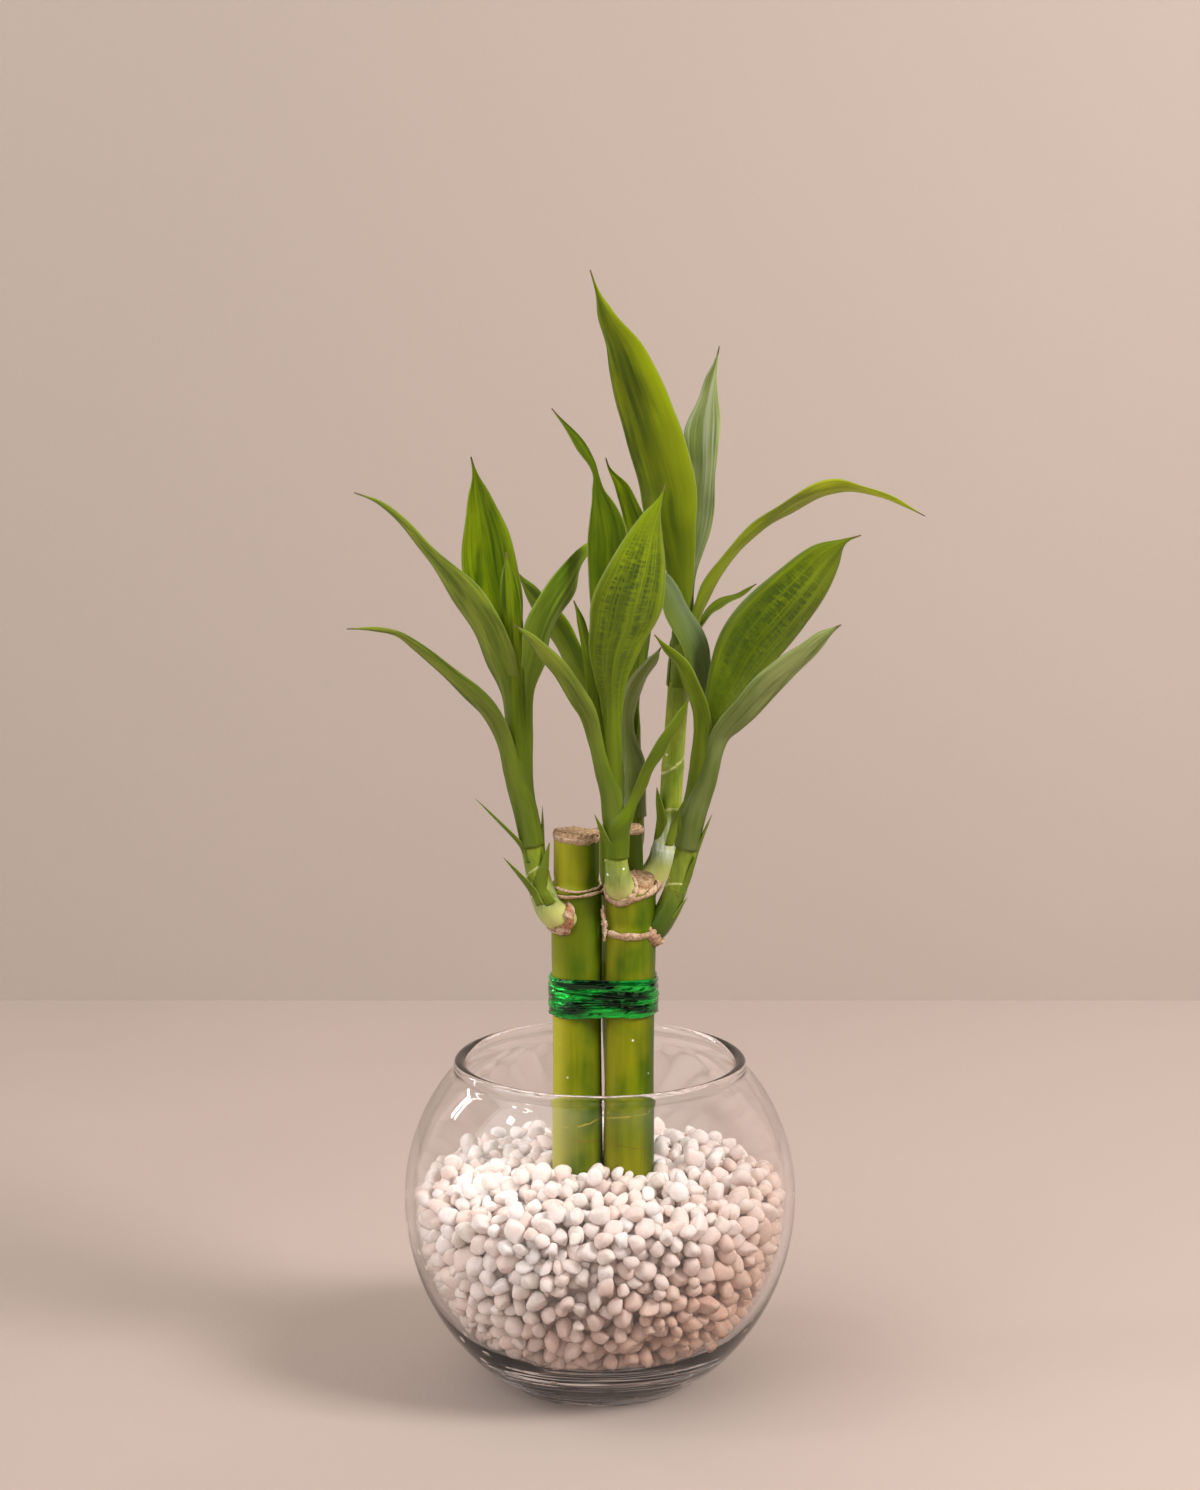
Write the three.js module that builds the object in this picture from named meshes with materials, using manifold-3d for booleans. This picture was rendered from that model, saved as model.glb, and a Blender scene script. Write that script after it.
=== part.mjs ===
// A lucky bamboo in a glass bubble bowl, in millimetres, +Z up.
// Three cut canes stand in a bed of white pebbles and are held together by a foil tie.
// Five leafy shoots grow from the canes' upper joints.
// The origin is the centre of the bowl's flat foot. The front of the plant faces -Y.

import * as THREE from 'three';
import { mergeVertices } from 'three/addons/utils/BufferGeometryUtils.js';
import Module from 'manifold-3d';

const wasm = await Module();
wasm.setup();

// ---------------------------------------------------------------- driving dimensions

const GAP = 0.3; // clearance between pieces that touch
const LEAF_GAP = 0.35; // clearance between a leaf and what it clasps

const BOWL = {
  bodyRadius: 51, // the widest ring
  bodyHeight: 50, // its height
  footRadius: 23.5, // the flat foot that the bowl stands on
  rimRadius: 36.5, // to the middle of the rounded rim
  rimHeight: 85.4,
  beadRadius: 1.5, // of the rounded rim
  wall: 2.4, // glass at the widest ring
  heelWall: 3.2, // glass between the two ovals, straight down
  floor: 6, // glass under the pebbles
  floorPower: 10, // how sharply the inside turns from oval to floor
  insideAngles: [0, 12, 24, 36, 45, 50, 54, 58, 63, 71], // of its rows below the widest ring
  segments: 44,
  lowerRows: 7, // rows of faces below the widest ring
  upperRows: 3,
  beadRows: 4,
};

const BED = {
  top: 56, // height of the pebble bed near the glass
  crown: 5, // how much higher its middle lies
  pebbles: 580,
  scatter: 1.2, // how far a pebble strays from an even spread
  sunk: 0.2, // how far at least a pebble lies inside the bed's outline
  unevenness: 1, // how much deeper it may lie
  hollow: 2.3, // depth of the hollows between pebbles
  crest: 0.3, // half-length of a pebble's crest, as a share of its reach
  shoulder: 2.6, // how much lower the top lies at the glass, where its edge is rounded
  shoulderPower: 9, // how sharply that edge turns
  rows: 60, // of the outline, along the glass and over the top alike
  seed: 20,
};

// Each cane leans from its foot in the pebbles to its cut top, and is `slim` mm thinner
// in radius above its last joint. A slanted top falls by `slant` degrees towards -Y and +X.
const CANES = {
  cane_front_left: {
    top: [-6.1, -6.5, 148.2],
    foot: [-5.7, -6.5],
    radius: 6.35,
    joints: [133.4],
    slim: 0.5,
  },
  cane_front_right: {
    top: [7.9, -6.5, 137],
    foot: [7.1, -6.5],
    radius: 6.4,
    joints: [122.8, 132.6],
    slim: 0.2,
    slant: 13,
  },
  cane_back: {
    top: [5.2, 6.5, 146.5],
    foot: [9.2, 6.6],
    radius: 6.1,
    joints: [130.5],
    slim: 0.3,
  },
};
const CANE_FOOT = 12; // height of the canes' lower ends above the surface
const CANE_BEVEL = 0.5; // on both ends
const CANE_SIDES = 18;
const JOINT_RING = { rise: 0.45, height: 2.2 };

const TIE = {
  bottom: 100.8,
  top: 110.6,
  ribbon: 5, // width of one turn
  thickness: 0.6,
  step: 0.12, // how much further out each next turn lies
  sides: 24,
  turns: [
    { rise: -1.7, slope: [-0.03, 0.02] },
    { rise: 0.2, slope: [0.05, 0] },
    { rise: 1.7, slope: [-0.05, -0.02] },
  ],
};

// A shoot's path is the middle of its stem, from inside its cane to its growing tip.
// `rings` are the steps between its sheaths, as shares of the path, and the leaf bases
// begin at the height `neck`. Bracts are short pointed scales.
const STEM = {
  sides: 9,
  core: 0.9, // radius past the neck, inside the leaf bases
  shoulder: 3, // height over which the stem thins to its core
  tip: 0.6, // radius of the core's end, as a share of the core
  ringRise: 0.35,
  ringLength: 0.03, // as a share of the path
  collarRise: 1, // of the swelling where the shoot leaves its cane
  collarShare: 0.1,
  collarLength: 0.07,
};
const SHOOTS = {
  a: {
    path: [
      [-7.4, -9, 126.6], [-11.2, -11.2, 127.6], [-14, -10.8, 131.6], [-16.4, -9.8, 140.4],
      [-18.1, -9, 150.4], [-19.7, -9, 160.3], [-21.2, -9, 176],
    ],
    radius: 2.9,
    neck: 146,
    rings: [0.3],
    bracts: [
      { root: [-17.6, -9.3, 144.5], tip: [-31.5, -14, 158.2], width: 5 },
      { root: [-14.6, -11, 133.5], tip: [-24.4, -17, 143.6], width: 5 },
      { root: [-12.6, -11, 134.5], tip: [-12.8, -12.4, 146.4], width: 4 },
      { root: [-17, -8.7, 145], tip: [-14.6, -8.4, 155], width: 3.6 },
    ],
  },
  b: {
    path: [
      [6, -9.4, 133.4], [5, -12.6, 135], [4.4, -14.4, 138.6], [4, -15, 143],
      [3.8, -15, 149], [3.2, -15, 156], [3.1, -15, 164], [3, -15, 177],
    ],
    radius: 2.7,
    neck: 148,
    rings: [0.26],
    bracts: [{ root: [2.6, -15.6, 146], tip: [-1.4, -18.6, 155], width: 4 }],
  },
  c: {
    path: [
      [9.4, 6.8, 130.4], [13, 7.8, 132.6], [15.8, 8.6, 137], [17.2, 9, 142.6], [18, 9, 149],
      [18.7, 9, 160], [19.5, 9, 172.5], [20.3, 9, 185], [20.8, 9, 197.4], [21, 9, 208],
    ],
    radius: 2.8,
    neck: 184,
    rings: [0.16, 0.27, 0.44],
    bracts: [
      { root: [17, 7.6, 148], tip: [14.6, 5.4, 157.2], width: 4.2 },
      { root: [18.2, 7.4, 147], tip: [23, 3, 156.4], width: 4.2 },
    ],
  },
  d: {
    path: [
      [10.2, -6.6, 121.4], [13.8, -7.2, 122.8], [16.4, -7.5, 126.2], [18.2, -7.5, 130.2],
      [20.2, -7.5, 136], [22.2, -7.5, 143.4], [23.6, -7.5, 150.9],
      [25.5, -7.5, 159.5], [27.6, -7.5, 175],
    ],
    radius: 2.8,
    neck: 145,
    rings: [0.28],
    bracts: [
      { root: [22, -8.6, 144], tip: [20.4, -9.4, 154], width: 3.6 },
      { root: [22.4, -8, 143], tip: [28.6, -8, 153], width: 4.4 },
      { root: [17, -8, 125.6], tip: [22.4, -9.4, 131.6], width: 4.4 },
      { root: [21, -8.6, 135], tip: [25, -10.6, 143.6], width: 4.2 },
    ],
  },
  e: {
    path: [
      [6.4, 9.5, 138], [8.6, 13, 141.4], [9, 15.4, 147],
      [8.6, 16, 154], [7.8, 16, 162], [7.2, 16, 176],
    ],
    radius: 2.5,
    neck: 149,
    rings: [],
    bracts: [{ root: [8.8, 14.6, 146], tip: [8, 11.6, 156], width: 4 }],
  },
};

// Leaves, innermost first on each shoot. A leaf clasps its stem from the height `base` on
// the side `side` (degrees from +X towards +Y), outside `layer` other leaf bases. Its rib
// then runs through points of [x, y, z, width of the blade]. `roll` turns the blade's face
// about the rib, in degrees.
const LEAF = {
  thickness: 0.8, // along the middle
  edge: 0.62, // thickness along the edges
  steps: 9, // faces along a blade
  across: 4, // faces across a blade
  clasp: 8, // how far up the stem a leaf's base holds on to it
  lean: 0.4, // how far the base moves off the stem meanwhile
  opensFrom: 5, // the blade opens out between these distances from its base
  opensTo: 22,
  claspAngle: 66, // half-angle of the cross-section's arc at the base, in degrees
  openAngle: 24, // and in the open blade
};
const BRACT = {
  steps: 4,
  across: 2,
  bulge: 0.3, // how far its middle stands off a straight line
  taper: 1.6, // the power by which it narrows
  tipWidth: 0.9,
  angle: 50, // half-angle of its cross-section, in degrees
};
const LEAVES = {
  a: {
    spear: {
      base: 160, side: 280, layer: 0,
      rib: [
        [-21, -10.5, 185, 4], [-21.6, -10.5, 196, 5], [-22.4, -10, 206, 5.5], [-23, -10, 214, 3.5],
        [-23.6, -9, 220, 1],
      ],
    },
    back: {
      base: 158, side: 95, layer: 0,
      rib: [
        [-22.5, -6, 185.5, 5.5], [-24.5, -3, 196, 9.5], [-26.5, -1, 206.5, 14], [-28, 0.5, 215, 14],
        [-29, 1.5, 223, 12], [-30.5, 1.5, 231.5, 7], [-31.5, 1, 238, 2.5], [-32.5, 0, 243, 1],
      ],
    },
    right: {
      base: 155, side: 350, layer: 1, roll: -40,
      rib: [
        [-18, -8, 185, 5.5], [-16.5, -8.5, 193, 8], [-15, -8, 199.5, 10], [-12, -7, 206.5, 11],
        [-8.5, -5, 212, 10], [-5.5, -2, 217, 6.5], [-1.5, 2, 221, 2.5], [0, 6, 223, 1],
      ],
    },
    left: {
      base: 152, side: 196, layer: 1, roll: 40,
      rib: [
        [-23, -9, 184, 6.5], [-25.5, -10, 193, 9.5], [-28, -10.5, 200, 10.5], [-32, -11.5, 207, 10],
        [-37.5, -12, 214.5, 7.5], [-44, -12.5, 222, 4], [-49, -13, 228, 2.5],
        [-55, -13.5, 233, 1.8], [-61, -14, 235.5, 1],
      ],
    },
    low: {
      base: 148, side: 215, layer: 1, roll: 35,
      rib: [
        [-24.5, -11.5, 173, 5], [-27, -14, 179, 5.5],
        [-31.5, -17.5, 185, 5.5], [-38.5, -20.5, 192, 4.5],
        [-45.5, -23.5, 198.5, 3], [-50, -26.5, 202, 2], [-56, -29, 203.5, 1.5], [-62, -32, 204, 1],
      ],
    },
  },
  b: {
    back: {
      base: 160, side: 100, layer: 0,
      rib: [
        [2.5, -12, 182, 4.5], [2, -10, 194.5, 6.5], [2, -8.5, 210, 9.5],
        [2, -8, 221, 10.5], [1.5, -7.5, 226.5, 9.5],
        [0.5, -7, 231, 7], [-0.5, -7, 235, 3.5], [-1, -7, 239, 1.6], [-2, -7, 242, 2],
        [-4.5, -7.5, 246, 3], [-7, -8, 249.5, 2.5], [-12, -10, 256, 1],
      ],
    },
    front: {
      base: 157, side: 285, layer: 0,
      rib: [
        [3.2, -18.5, 182.5, 5.5], [3, -20.5, 190.5, 9], [4, -22.5, 198, 14],
        [6, -24, 204.5, 18], [7.5, -25.5, 211, 19],
        [9.5, -26.5, 218, 16.5], [11.5, -26.5, 226, 10.5], [13.5, -26, 232, 5],
        [15, -25.5, 235.5, 2], [16, -24, 238.5, 1],
      ],
    },
    thin: {
      base: 158, side: 200, layer: 1, roll: 50,
      rib: [
        [-1.5, -17, 182.5, 3], [-2, -18, 188, 3], [-3, -19.5, 196, 3], [-5, -21, 205, 2],
        [-6.5, -21, 209.5, 1],
      ],
    },
    left: {
      base: 151, side: 230, layer: 1, roll: 30,
      rib: [
        [-1.5, -18, 174.5, 4], [-2.8, -20, 180, 4.5], [-5, -22.5, 184.5, 5], [-9, -25, 191.5, 5],
        [-13.5, -27.5, 197, 4.5], [-17, -30, 201.5, 2.5], [-21, -32, 205, 1],
      ],
    },
    low: {
      base: 143, side: 330, layer: 0, roll: -20,
      rib: [
        [8.7, -15.5, 157.5, 4], [11.5, -16.5, 164.5, 4.5], [15, -18, 171.5, 4.5], [19, -18, 178, 4],
        [22.5, -17, 184.5, 1],
      ],
    },
  },
  c: {
    top: {
      base: 193, side: 262, layer: 0,
      rib: [
        [20.5, 6, 211, 6.5], [19.5, 5.5, 220, 10], [18, 5, 227, 13.5],
        [17, 5, 234.5, 15], [15, 4.5, 242, 15.5],
        [13, 4, 249, 15.5], [10.5, 4, 256.5, 14.5], [8, 3.5, 263.5, 12.5], [5.5, 3.5, 270.5, 10],
        [1.5, 3.5, 278, 5.5], [-0.5, 4, 283.5, 1.8], [-2.5, 4, 289.5, 1],
      ],
    },
    back: {
      base: 191, side: 60, layer: 0,
      rib: [
        [23, 13, 210.5, 4], [24, 15.5, 216, 5], [25.5, 17, 223.5, 6.5],
        [26, 18.5, 230.5, 8.5], [26.5, 19.5, 238, 9.5],
        [26.5, 20, 245, 10], [27, 20.5, 251.5, 8.5], [28, 20, 257.5, 5.5],
        [29.5, 19, 264, 2], [30.5, 18, 269.5, 1],
      ],
    },
    right: {
      base: 188, side: 350, layer: 1, roll: -30,
      rib: [
        [25.5, 8, 203, 4.5], [27.5, 8.5, 207.5, 5], [34, 9.5, 217.5, 6],
        [39, 9.5, 222.5, 6.5], [44.5, 9, 227, 7],
        [50.5, 9, 231, 7.5], [56.5, 8, 233.5, 7.5], [62.5, 7.5, 234.5, 6.5], [68.5, 6.5, 233.5, 4.5],
        [74.5, 5.5, 231.5, 2.6], [82.5, 4, 227.5, 1],
      ],
    },
    small: {
      base: 187, side: 42, layer: 1,
      rib: [
        [26.5, 12, 199.5, 3], [29, 15, 202, 3.5], [32.5, 17, 204, 4], [36.5, 19, 205.5, 2.5],
        [40.5, 20, 208, 1],
      ],
    },
  },
  d: {
    back: {
      base: 158, side: 130, layer: 0,
      rib: [
        [26.5, -4, 180, 6], [25.5, -4.5, 186.5, 8], [24, -5, 193.5, 10.5], [21.5, -6, 200, 11],
        [18.5, -7, 206.5, 9.5], [15.5, -8, 213, 5.5], [13, -9, 218.5, 1],
      ],
    },
    right: {
      base: 155, side: 325, layer: 0, roll: -50,
      rib: [
        [29, -9.5, 177, 7], [31, -8.5, 183, 9.5], [34, -7.5, 189.5, 13.5],
        [38, -7.5, 196.5, 16.5], [44, -7, 203.5, 17.5],
        [50.5, -7, 211, 15], [56.5, -6.5, 218, 9.5], [61.5, -7, 222.5, 2.2], [65.5, -7, 224, 1],
      ],
    },
    left: {
      base: 152, side: 235, layer: 1,
      rib: [
        [25.5, -12.5, 178, 5], [24.5, -14.5, 183, 5.5], [22.5, -16.5, 188, 5.5],
        [20, -17.5, 193, 5], [16.5, -18, 197, 3.6], [13.5, -18, 200.5, 1],
      ],
    },
    low: {
      base: 148, side: 305, layer: 1, roll: -25,
      rib: [
        [30, -12, 172.5, 5.5], [32.5, -14, 176.5, 6.5], [36, -16, 181, 7.5], [40.5, -18, 186.5, 8],
        [45.5, -20, 191.5, 7.5], [51, -22, 196.5, 6.5], [55.5, -23.5, 201, 4], [59.5, -25, 204, 1],
      ],
    },
  },
  e: {
    top: {
      base: 162, side: 60, layer: 0,
      rib: [
        [8.5, 18, 178, 5], [9.5, 16.5, 188, 6.5], [11, 16, 203, 7.5],
        [11, 16, 212.5, 7.5], [10.5, 15.5, 221, 7],
        [8.5, 14.5, 226.5, 5.5], [6, 13.8, 233, 3.8], [2.5, 13, 238.5, 1.5], [1.5, 12, 241.5, 1],
      ],
    },
    left: {
      base: 156, side: 175, layer: 0, roll: 55,
      rib: [
        [2, 16, 171.5, 6], [-1, 16.5, 177, 7], [-4, 17, 182, 7.5], [-6.5, 17.5, 187.5, 8.5],
        [-10, 18.5, 194.5, 9], [-14.5, 19, 201, 8], [-18, 20, 206, 5.5], [-21.5, 21, 211, 1],
      ],
    },
    right: {
      base: 152, side: 300, layer: 1,
      rib: [
        [7.2, 11.5, 170, 4], [7.4, 9.5, 177.5, 4.5], [8.8, 6.5, 182.5, 5.5], [10.5, 3.5, 186.5, 5.5],
        [13, 0.5, 190.5, 4], [15.5, -3, 195, 1],
      ],
    },
  },
};

const LOOK = {
  glass: { color: 0xdfe8e4, roughness: 0.04, metalness: 0, transparent: true, opacity: 0.35 },
  pebbles: { color: 0xe9dcd0, roughness: 0.6, metalness: 0 },
  cane: { color: 0x7f8a3a, roughness: 0.45, metalness: 0 },
  shoot: { color: 0x9aa556, roughness: 0.5, metalness: 0 },
  leaf: { color: 0x5f8f2e, roughness: 0.42, metalness: 0 },
  foil: { color: 0x2f8f4a, roughness: 0.28, metalness: 0.7 },
};

// ---------------------------------------------------------------- solids and meshes

const UP = new THREE.Vector3(0, 0, 1);

// Turns a closed geometry into a solid whose faces point out.
function toSolid(geometry) {
  const bare = geometry.clone();
  bare.deleteAttribute('normal');
  bare.deleteAttribute('uv');
  const merged = mergeVertices(bare, 1e-4);
  const position = merged.getAttribute('position');
  const corner = [0, 1, 2].map(() => new THREE.Vector3());
  const triangles = [];
  let volume = 0;
  for (let i = 0; i < merged.index.count; i += 3) {
    const ids = [0, 1, 2].map((k) => merged.index.getX(i + k));
    if (new Set(ids).size < 3) continue;
    ids.forEach((id, k) => corner[k].fromBufferAttribute(position, id));
    volume += corner[0].dot(corner[1].clone().cross(corner[2]));
    triangles.push(ids);
  }
  const order = volume > 0 ? [0, 1, 2] : [0, 2, 1];
  return new wasm.Manifold(
    new wasm.Mesh({
      numProp: 3,
      vertProperties: new Float32Array(position.array),
      triVerts: new Uint32Array(triangles.flatMap((ids) => order.map((k) => ids[k]))),
    }),
  );
}

// The largest body of a solid: loose scraps and sealed hollows are left behind.
function largest(solid) {
  return solid.decompose().reduce((best, body) => (body.volume() > best.volume() ? body : best));
}

function toMesh(name, solid, look) {
  const { vertProperties, triVerts } = solid.getMesh();
  const geometry = new THREE.BufferGeometry();
  geometry.setAttribute('position', new THREE.BufferAttribute(vertProperties, 3));
  geometry.setIndex(new THREE.BufferAttribute(triVerts, 1));
  geometry.computeVertexNormals();
  const mesh = new THREE.Mesh(geometry, new THREE.MeshStandardMaterial(look));
  mesh.name = name;
  return mesh;
}

function union(solids) {
  return solids.reduce((whole, solid) => whole.add(solid));
}

// A lathe about Z from [radius, height] points.
function latheZ(points, segments) {
  const profile = points.map(([radius, height]) => new THREE.Vector2(radius, height));
  return new THREE.LatheGeometry(profile, segments).rotateX(Math.PI / 2);
}

// Seeded numbers from 0 to 1, the same in every run.
function seeded(seed) {
  let state = seed;
  return () => {
    state = (state * 1664525 + 1013904223) % 4294967296;
    return state / 4294967296;
  };
}

// ---------------------------------------------------------------- glass bowl

// Below its widest ring the bowl is an oval, which the foot cuts off at this angle.
const footAngle = Math.acos(BOWL.footRadius / BOWL.bodyRadius);
const ovalHeight = BOWL.bodyHeight / Math.sin(footAngle);

// The outside, from the edge of the foot up to the rim: a half-oval under a ball.
function bowlOutside() {
  const { bodyRadius, bodyHeight, rimRadius, beadRadius, lowerRows, upperRows } = BOWL;
  const rimAngle = Math.acos((rimRadius + beadRadius / 2) / bodyRadius);
  const points = [];
  for (let i = 0; i <= lowerRows; i++) {
    const angle = footAngle * (1 - i / lowerRows);
    points.push([bodyRadius * Math.cos(angle), bodyHeight - ovalHeight * Math.sin(angle)]);
  }
  for (let i = 1; i < upperRows; i++) {
    const angle = (rimAngle * i) / upperRows;
    points.push([bodyRadius * Math.cos(angle), bodyHeight + bodyRadius * Math.sin(angle)]);
  }
  return points;
}

// The inside, from the rim down to the middle of the floor, drawn in by `inset`. Its lower
// half is an oval too, cut by the flat floor, with rows of faces at the given angles.
function bowlInside(inset, angles) {
  const { bodyRadius, bodyHeight, wall, heelWall, floor, floorPower } = BOWL;
  const { rimRadius, beadRadius, upperRows } = BOWL;
  const radius = bodyRadius - wall - inset;
  const oval = ovalHeight - heelWall - inset;
  const depth = bodyHeight - floor - inset;
  const rimAngle = Math.acos((rimRadius - beadRadius / 2 - inset) / radius);
  const points = [];
  for (let i = upperRows - 1; i >= 1; i--) {
    const angle = (rimAngle * i) / upperRows;
    points.push([radius * Math.cos(angle), bodyHeight + radius * Math.sin(angle)]);
  }
  for (const degrees of [...angles, 90]) {
    const angle = THREE.MathUtils.degToRad(degrees);
    const down = oval * Math.sin(angle);
    const cut = (1 + (down / depth) ** floorPower) ** (-1 / floorPower);
    points.push([degrees === 90 ? 0 : radius * Math.cos(angle) * cut, bodyHeight - down * cut]);
  }
  return points;
}

function bowlSolid() {
  const { rimRadius, rimHeight, beadRadius, beadRows, insideAngles, segments } = BOWL;
  const bead = [];
  for (let i = 0; i <= beadRows; i++) {
    const angle = (Math.PI * i) / beadRows;
    bead.push([rimRadius + beadRadius * Math.cos(angle), rimHeight + beadRadius * Math.sin(angle)]);
  }
  const profile = [[0, 0], ...bowlOutside(), ...bead, ...bowlInside(0, insideAngles)];
  return toSolid(latheZ(profile, segments));
}

// ---------------------------------------------------------------- canes

// The middle of a cane at a height.
function caneAxis({ top, foot }, height) {
  const along = (height - CANE_FOOT) / (top[2] - CANE_FOOT);
  return [foot[0] + (top[0] - foot[0]) * along, foot[1] + (top[1] - foot[1]) * along];
}

// A straight round cane with a raised ring at each joint, `grow` mm fatter all round.
function caneSolid(cane, grow) {
  const { radius, joints, slim } = cane;
  const { rise, height: ring } = JOINT_RING;
  const base = CANE_FOOT - grow;
  const top = cane.top[2] + grow;
  const fat = radius + grow;
  const thin = fat - slim;
  const profile = [[0, base], [fat - CANE_BEVEL, base], [fat, base + CANE_BEVEL]];
  for (const height of joints) {
    const above = height === joints[joints.length - 1] ? thin : fat;
    profile.push([fat, height - ring], [fat + rise, height - ring / 4]);
    profile.push([fat + rise, height + ring / 4], [above, height + ring / 2]);
  }
  profile.push([thin, top - CANE_BEVEL], [thin - CANE_BEVEL, top], [0, top]);
  const geometry = latheZ(profile, CANE_SIDES);
  const position = geometry.getAttribute('position');
  for (let i = 0; i < position.count; i++) {
    const [x, y] = caneAxis(cane, position.getZ(i));
    position.setXY(i, position.getX(i) + x, position.getY(i) + y);
  }
  const solid = toSolid(geometry);
  return cane.slant ? solid.subtract(slantCut(cane, grow)) : solid;
}

// The block that a slanted cut takes off a cane's top. It passes so far below the top
// that it just leaves the cane's highest edge.
function slantCut({ top, radius, slant }, grow) {
  const tilt = THREE.MathUtils.degToRad(slant);
  const drop = Math.SQRT2 * radius * Math.sin(tilt);
  const side = radius * 4;
  const block = new THREE.BoxGeometry(side, side, side);
  block.translate(0, 0, side / 2 + grow);
  block.rotateX(tilt);
  block.rotateY(tilt);
  block.translate(top[0], top[1], top[2] - drop);
  return toSolid(block);
}

// ---------------------------------------------------------------- pebble bed

// The bed's outline from the floor's middle out along the glass and in over the domed top.
function bedOutline() {
  const { top, crown, shoulder, shoulderPower, rows } = BED;
  const angles = Array.from({ length: rows }, (_, i) => (90 * i) / rows);
  const glass = bowlInside(GAP, angles).reverse().filter(([, height]) => height < top - shoulder);
  const edge = glass[glass.length - 1][0];
  const dome = Array.from({ length: rows }, (_, i) => {
    const share = 1 - (i + 1) / rows;
    return [edge * share, top + crown * (1 - share ** 2) - shoulder * share ** shoulderPower];
  });
  return [...glass, ...dome].map(([radius, height]) => new THREE.Vector2(radius, height));
}

// Reads a line through the points (xs, ys), where xs rises, at `x`.
function readLine(xs, ys, x) {
  const found = xs.findIndex((value) => value >= x);
  const next = found < 0 ? xs.length - 1 : Math.max(found, 1);
  const share = THREE.MathUtils.clamp((x - xs[next - 1]) / (xs[next] - xs[next - 1]), 0, 1);
  return THREE.MathUtils.lerp(ys[next - 1], ys[next], share);
}

// Points spread evenly over the bed's surface, one for each pebble. `onBall` is the same
// point if the bed were puffed up to a ball.
function pebbleSpots() {
  const outline = bedOutline();
  const run = [0];
  const area = [0];
  outline.slice(1).forEach((end, i) => {
    const length = outline[i].distanceTo(end);
    run.push(run[i] + length);
    area.push(area[i] + (length * (outline[i].x + end.x)) / 2);
  });
  const radii = outline.map(({ x }) => x);
  const heights = outline.map(({ y }) => y);
  const random = seeded(BED.seed);
  const stray = () => BED.scatter * (2 * random() - 1);
  const goldenAngle = Math.PI * (3 - Math.sqrt(5));
  return Array.from({ length: BED.pebbles }, (_, i) => {
    const share = (area[area.length - 1] * (i + 0.5)) / BED.pebbles;
    const along = readLine(area, run, share) + stray();
    const radius = readLine(run, radii, along);
    const angle = i * goldenAngle + stray() / Math.max(radius, BED.scatter);
    const height = readLine(run, heights, along);
    const rise = Math.PI * THREE.MathUtils.clamp(along / run[run.length - 1], 0, 1);
    const turned = (out, up) => new THREE.Vector3(out * Math.cos(angle), out * Math.sin(angle), up);
    return {
      middle: turned(radius, height),
      onBall: turned(Math.sin(rise), -Math.cos(rise)),
      sunk: BED.sunk + BED.unevenness * random(),
    };
  });
}

// The hollows round each pebble, in order. They lie under the triangles of a net whose
// knots are the pebbles: on a ball, its hull joins each to its neighbours. `outward` is a
// triangle's normal.
function hollowRings(spots) {
  const net = wasm.Manifold.hull(spots.map(({ onBall }) => onBall.toArray())).getMesh();
  const knots = [];
  for (let i = 0; i < net.vertProperties.length; i += 3) {
    const knot = new THREE.Vector3().fromArray(net.vertProperties, i);
    const distances = spots.map(({ onBall }) => onBall.distanceToSquared(knot));
    knots.push(distances.indexOf(Math.min(...distances)));
  }
  const turns = spots.map(() => new Map());
  for (let i = 0; i < net.triVerts.length; i += 3) {
    const ids = [0, 1, 2].map((k) => knots[net.triVerts[i + k]]);
    const triangle = new THREE.Triangle(...ids.map((id) => spots[id].middle));
    const outward = triangle.getNormal(new THREE.Vector3());
    const place = triangle.getMidpoint(new THREE.Vector3()).addScaledVector(outward, -BED.hollow);
    ids.forEach((id, k) => {
      turns[id].set(ids[(k + 1) % 3], { next: ids[(k + 2) % 3], hollow: { place, outward } });
    });
  }
  return turns.map((turn) => {
    let [neighbour] = turn.keys();
    return Array.from(turn, () => {
      const { next, hollow } = turn.get(neighbour);
      neighbour = next;
      return hollow;
    });
  });
}

// A bed of pebbles as one body. Each pebble is a short crest with a facet down to each of
// the hollows round it.
function pebbleBed() {
  const spots = pebbleSpots();
  const corners = [];
  hollowRings(spots).forEach((ring, i) => {
    const outward = ring.reduce((sum, hollow) => sum.add(hollow.outward), new THREE.Vector3());
    const top = spots[i].middle.clone().addScaledVector(outward.normalize(), -spots[i].sunk);
    const reaches = ring.map(({ place }) => place.clone().sub(top).projectOnPlane(outward));
    const crest = reaches.reduce((best, reach) => (reach.length() > best.length() ? reach : best));
    const ends = [BED.crest, -BED.crest].map((share) => top.clone().addScaledVector(crest, share));
    const nearer = reaches.map((reach) => (reach.dot(crest) > 0 ? ends[0] : ends[1]));
    ring.forEach(({ place }, k) => {
      const next = (k + 1) % ring.length;
      corners.push(nearer[k], place, ring[next].place);
      if (nearer[k] !== nearer[next]) corners.push(nearer[k], ring[next].place, nearer[next]);
    });
  });
  const geometry = new THREE.BufferGeometry().setFromPoints(corners);
  geometry.setIndex(corners.map((_, i) => i));
  const holes = Object.values(CANES).map((cane) => caneSolid(cane, GAP));
  return largest(toSolid(geometry).subtract(union(holes)));
}

// ---------------------------------------------------------------- foil tie

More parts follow.
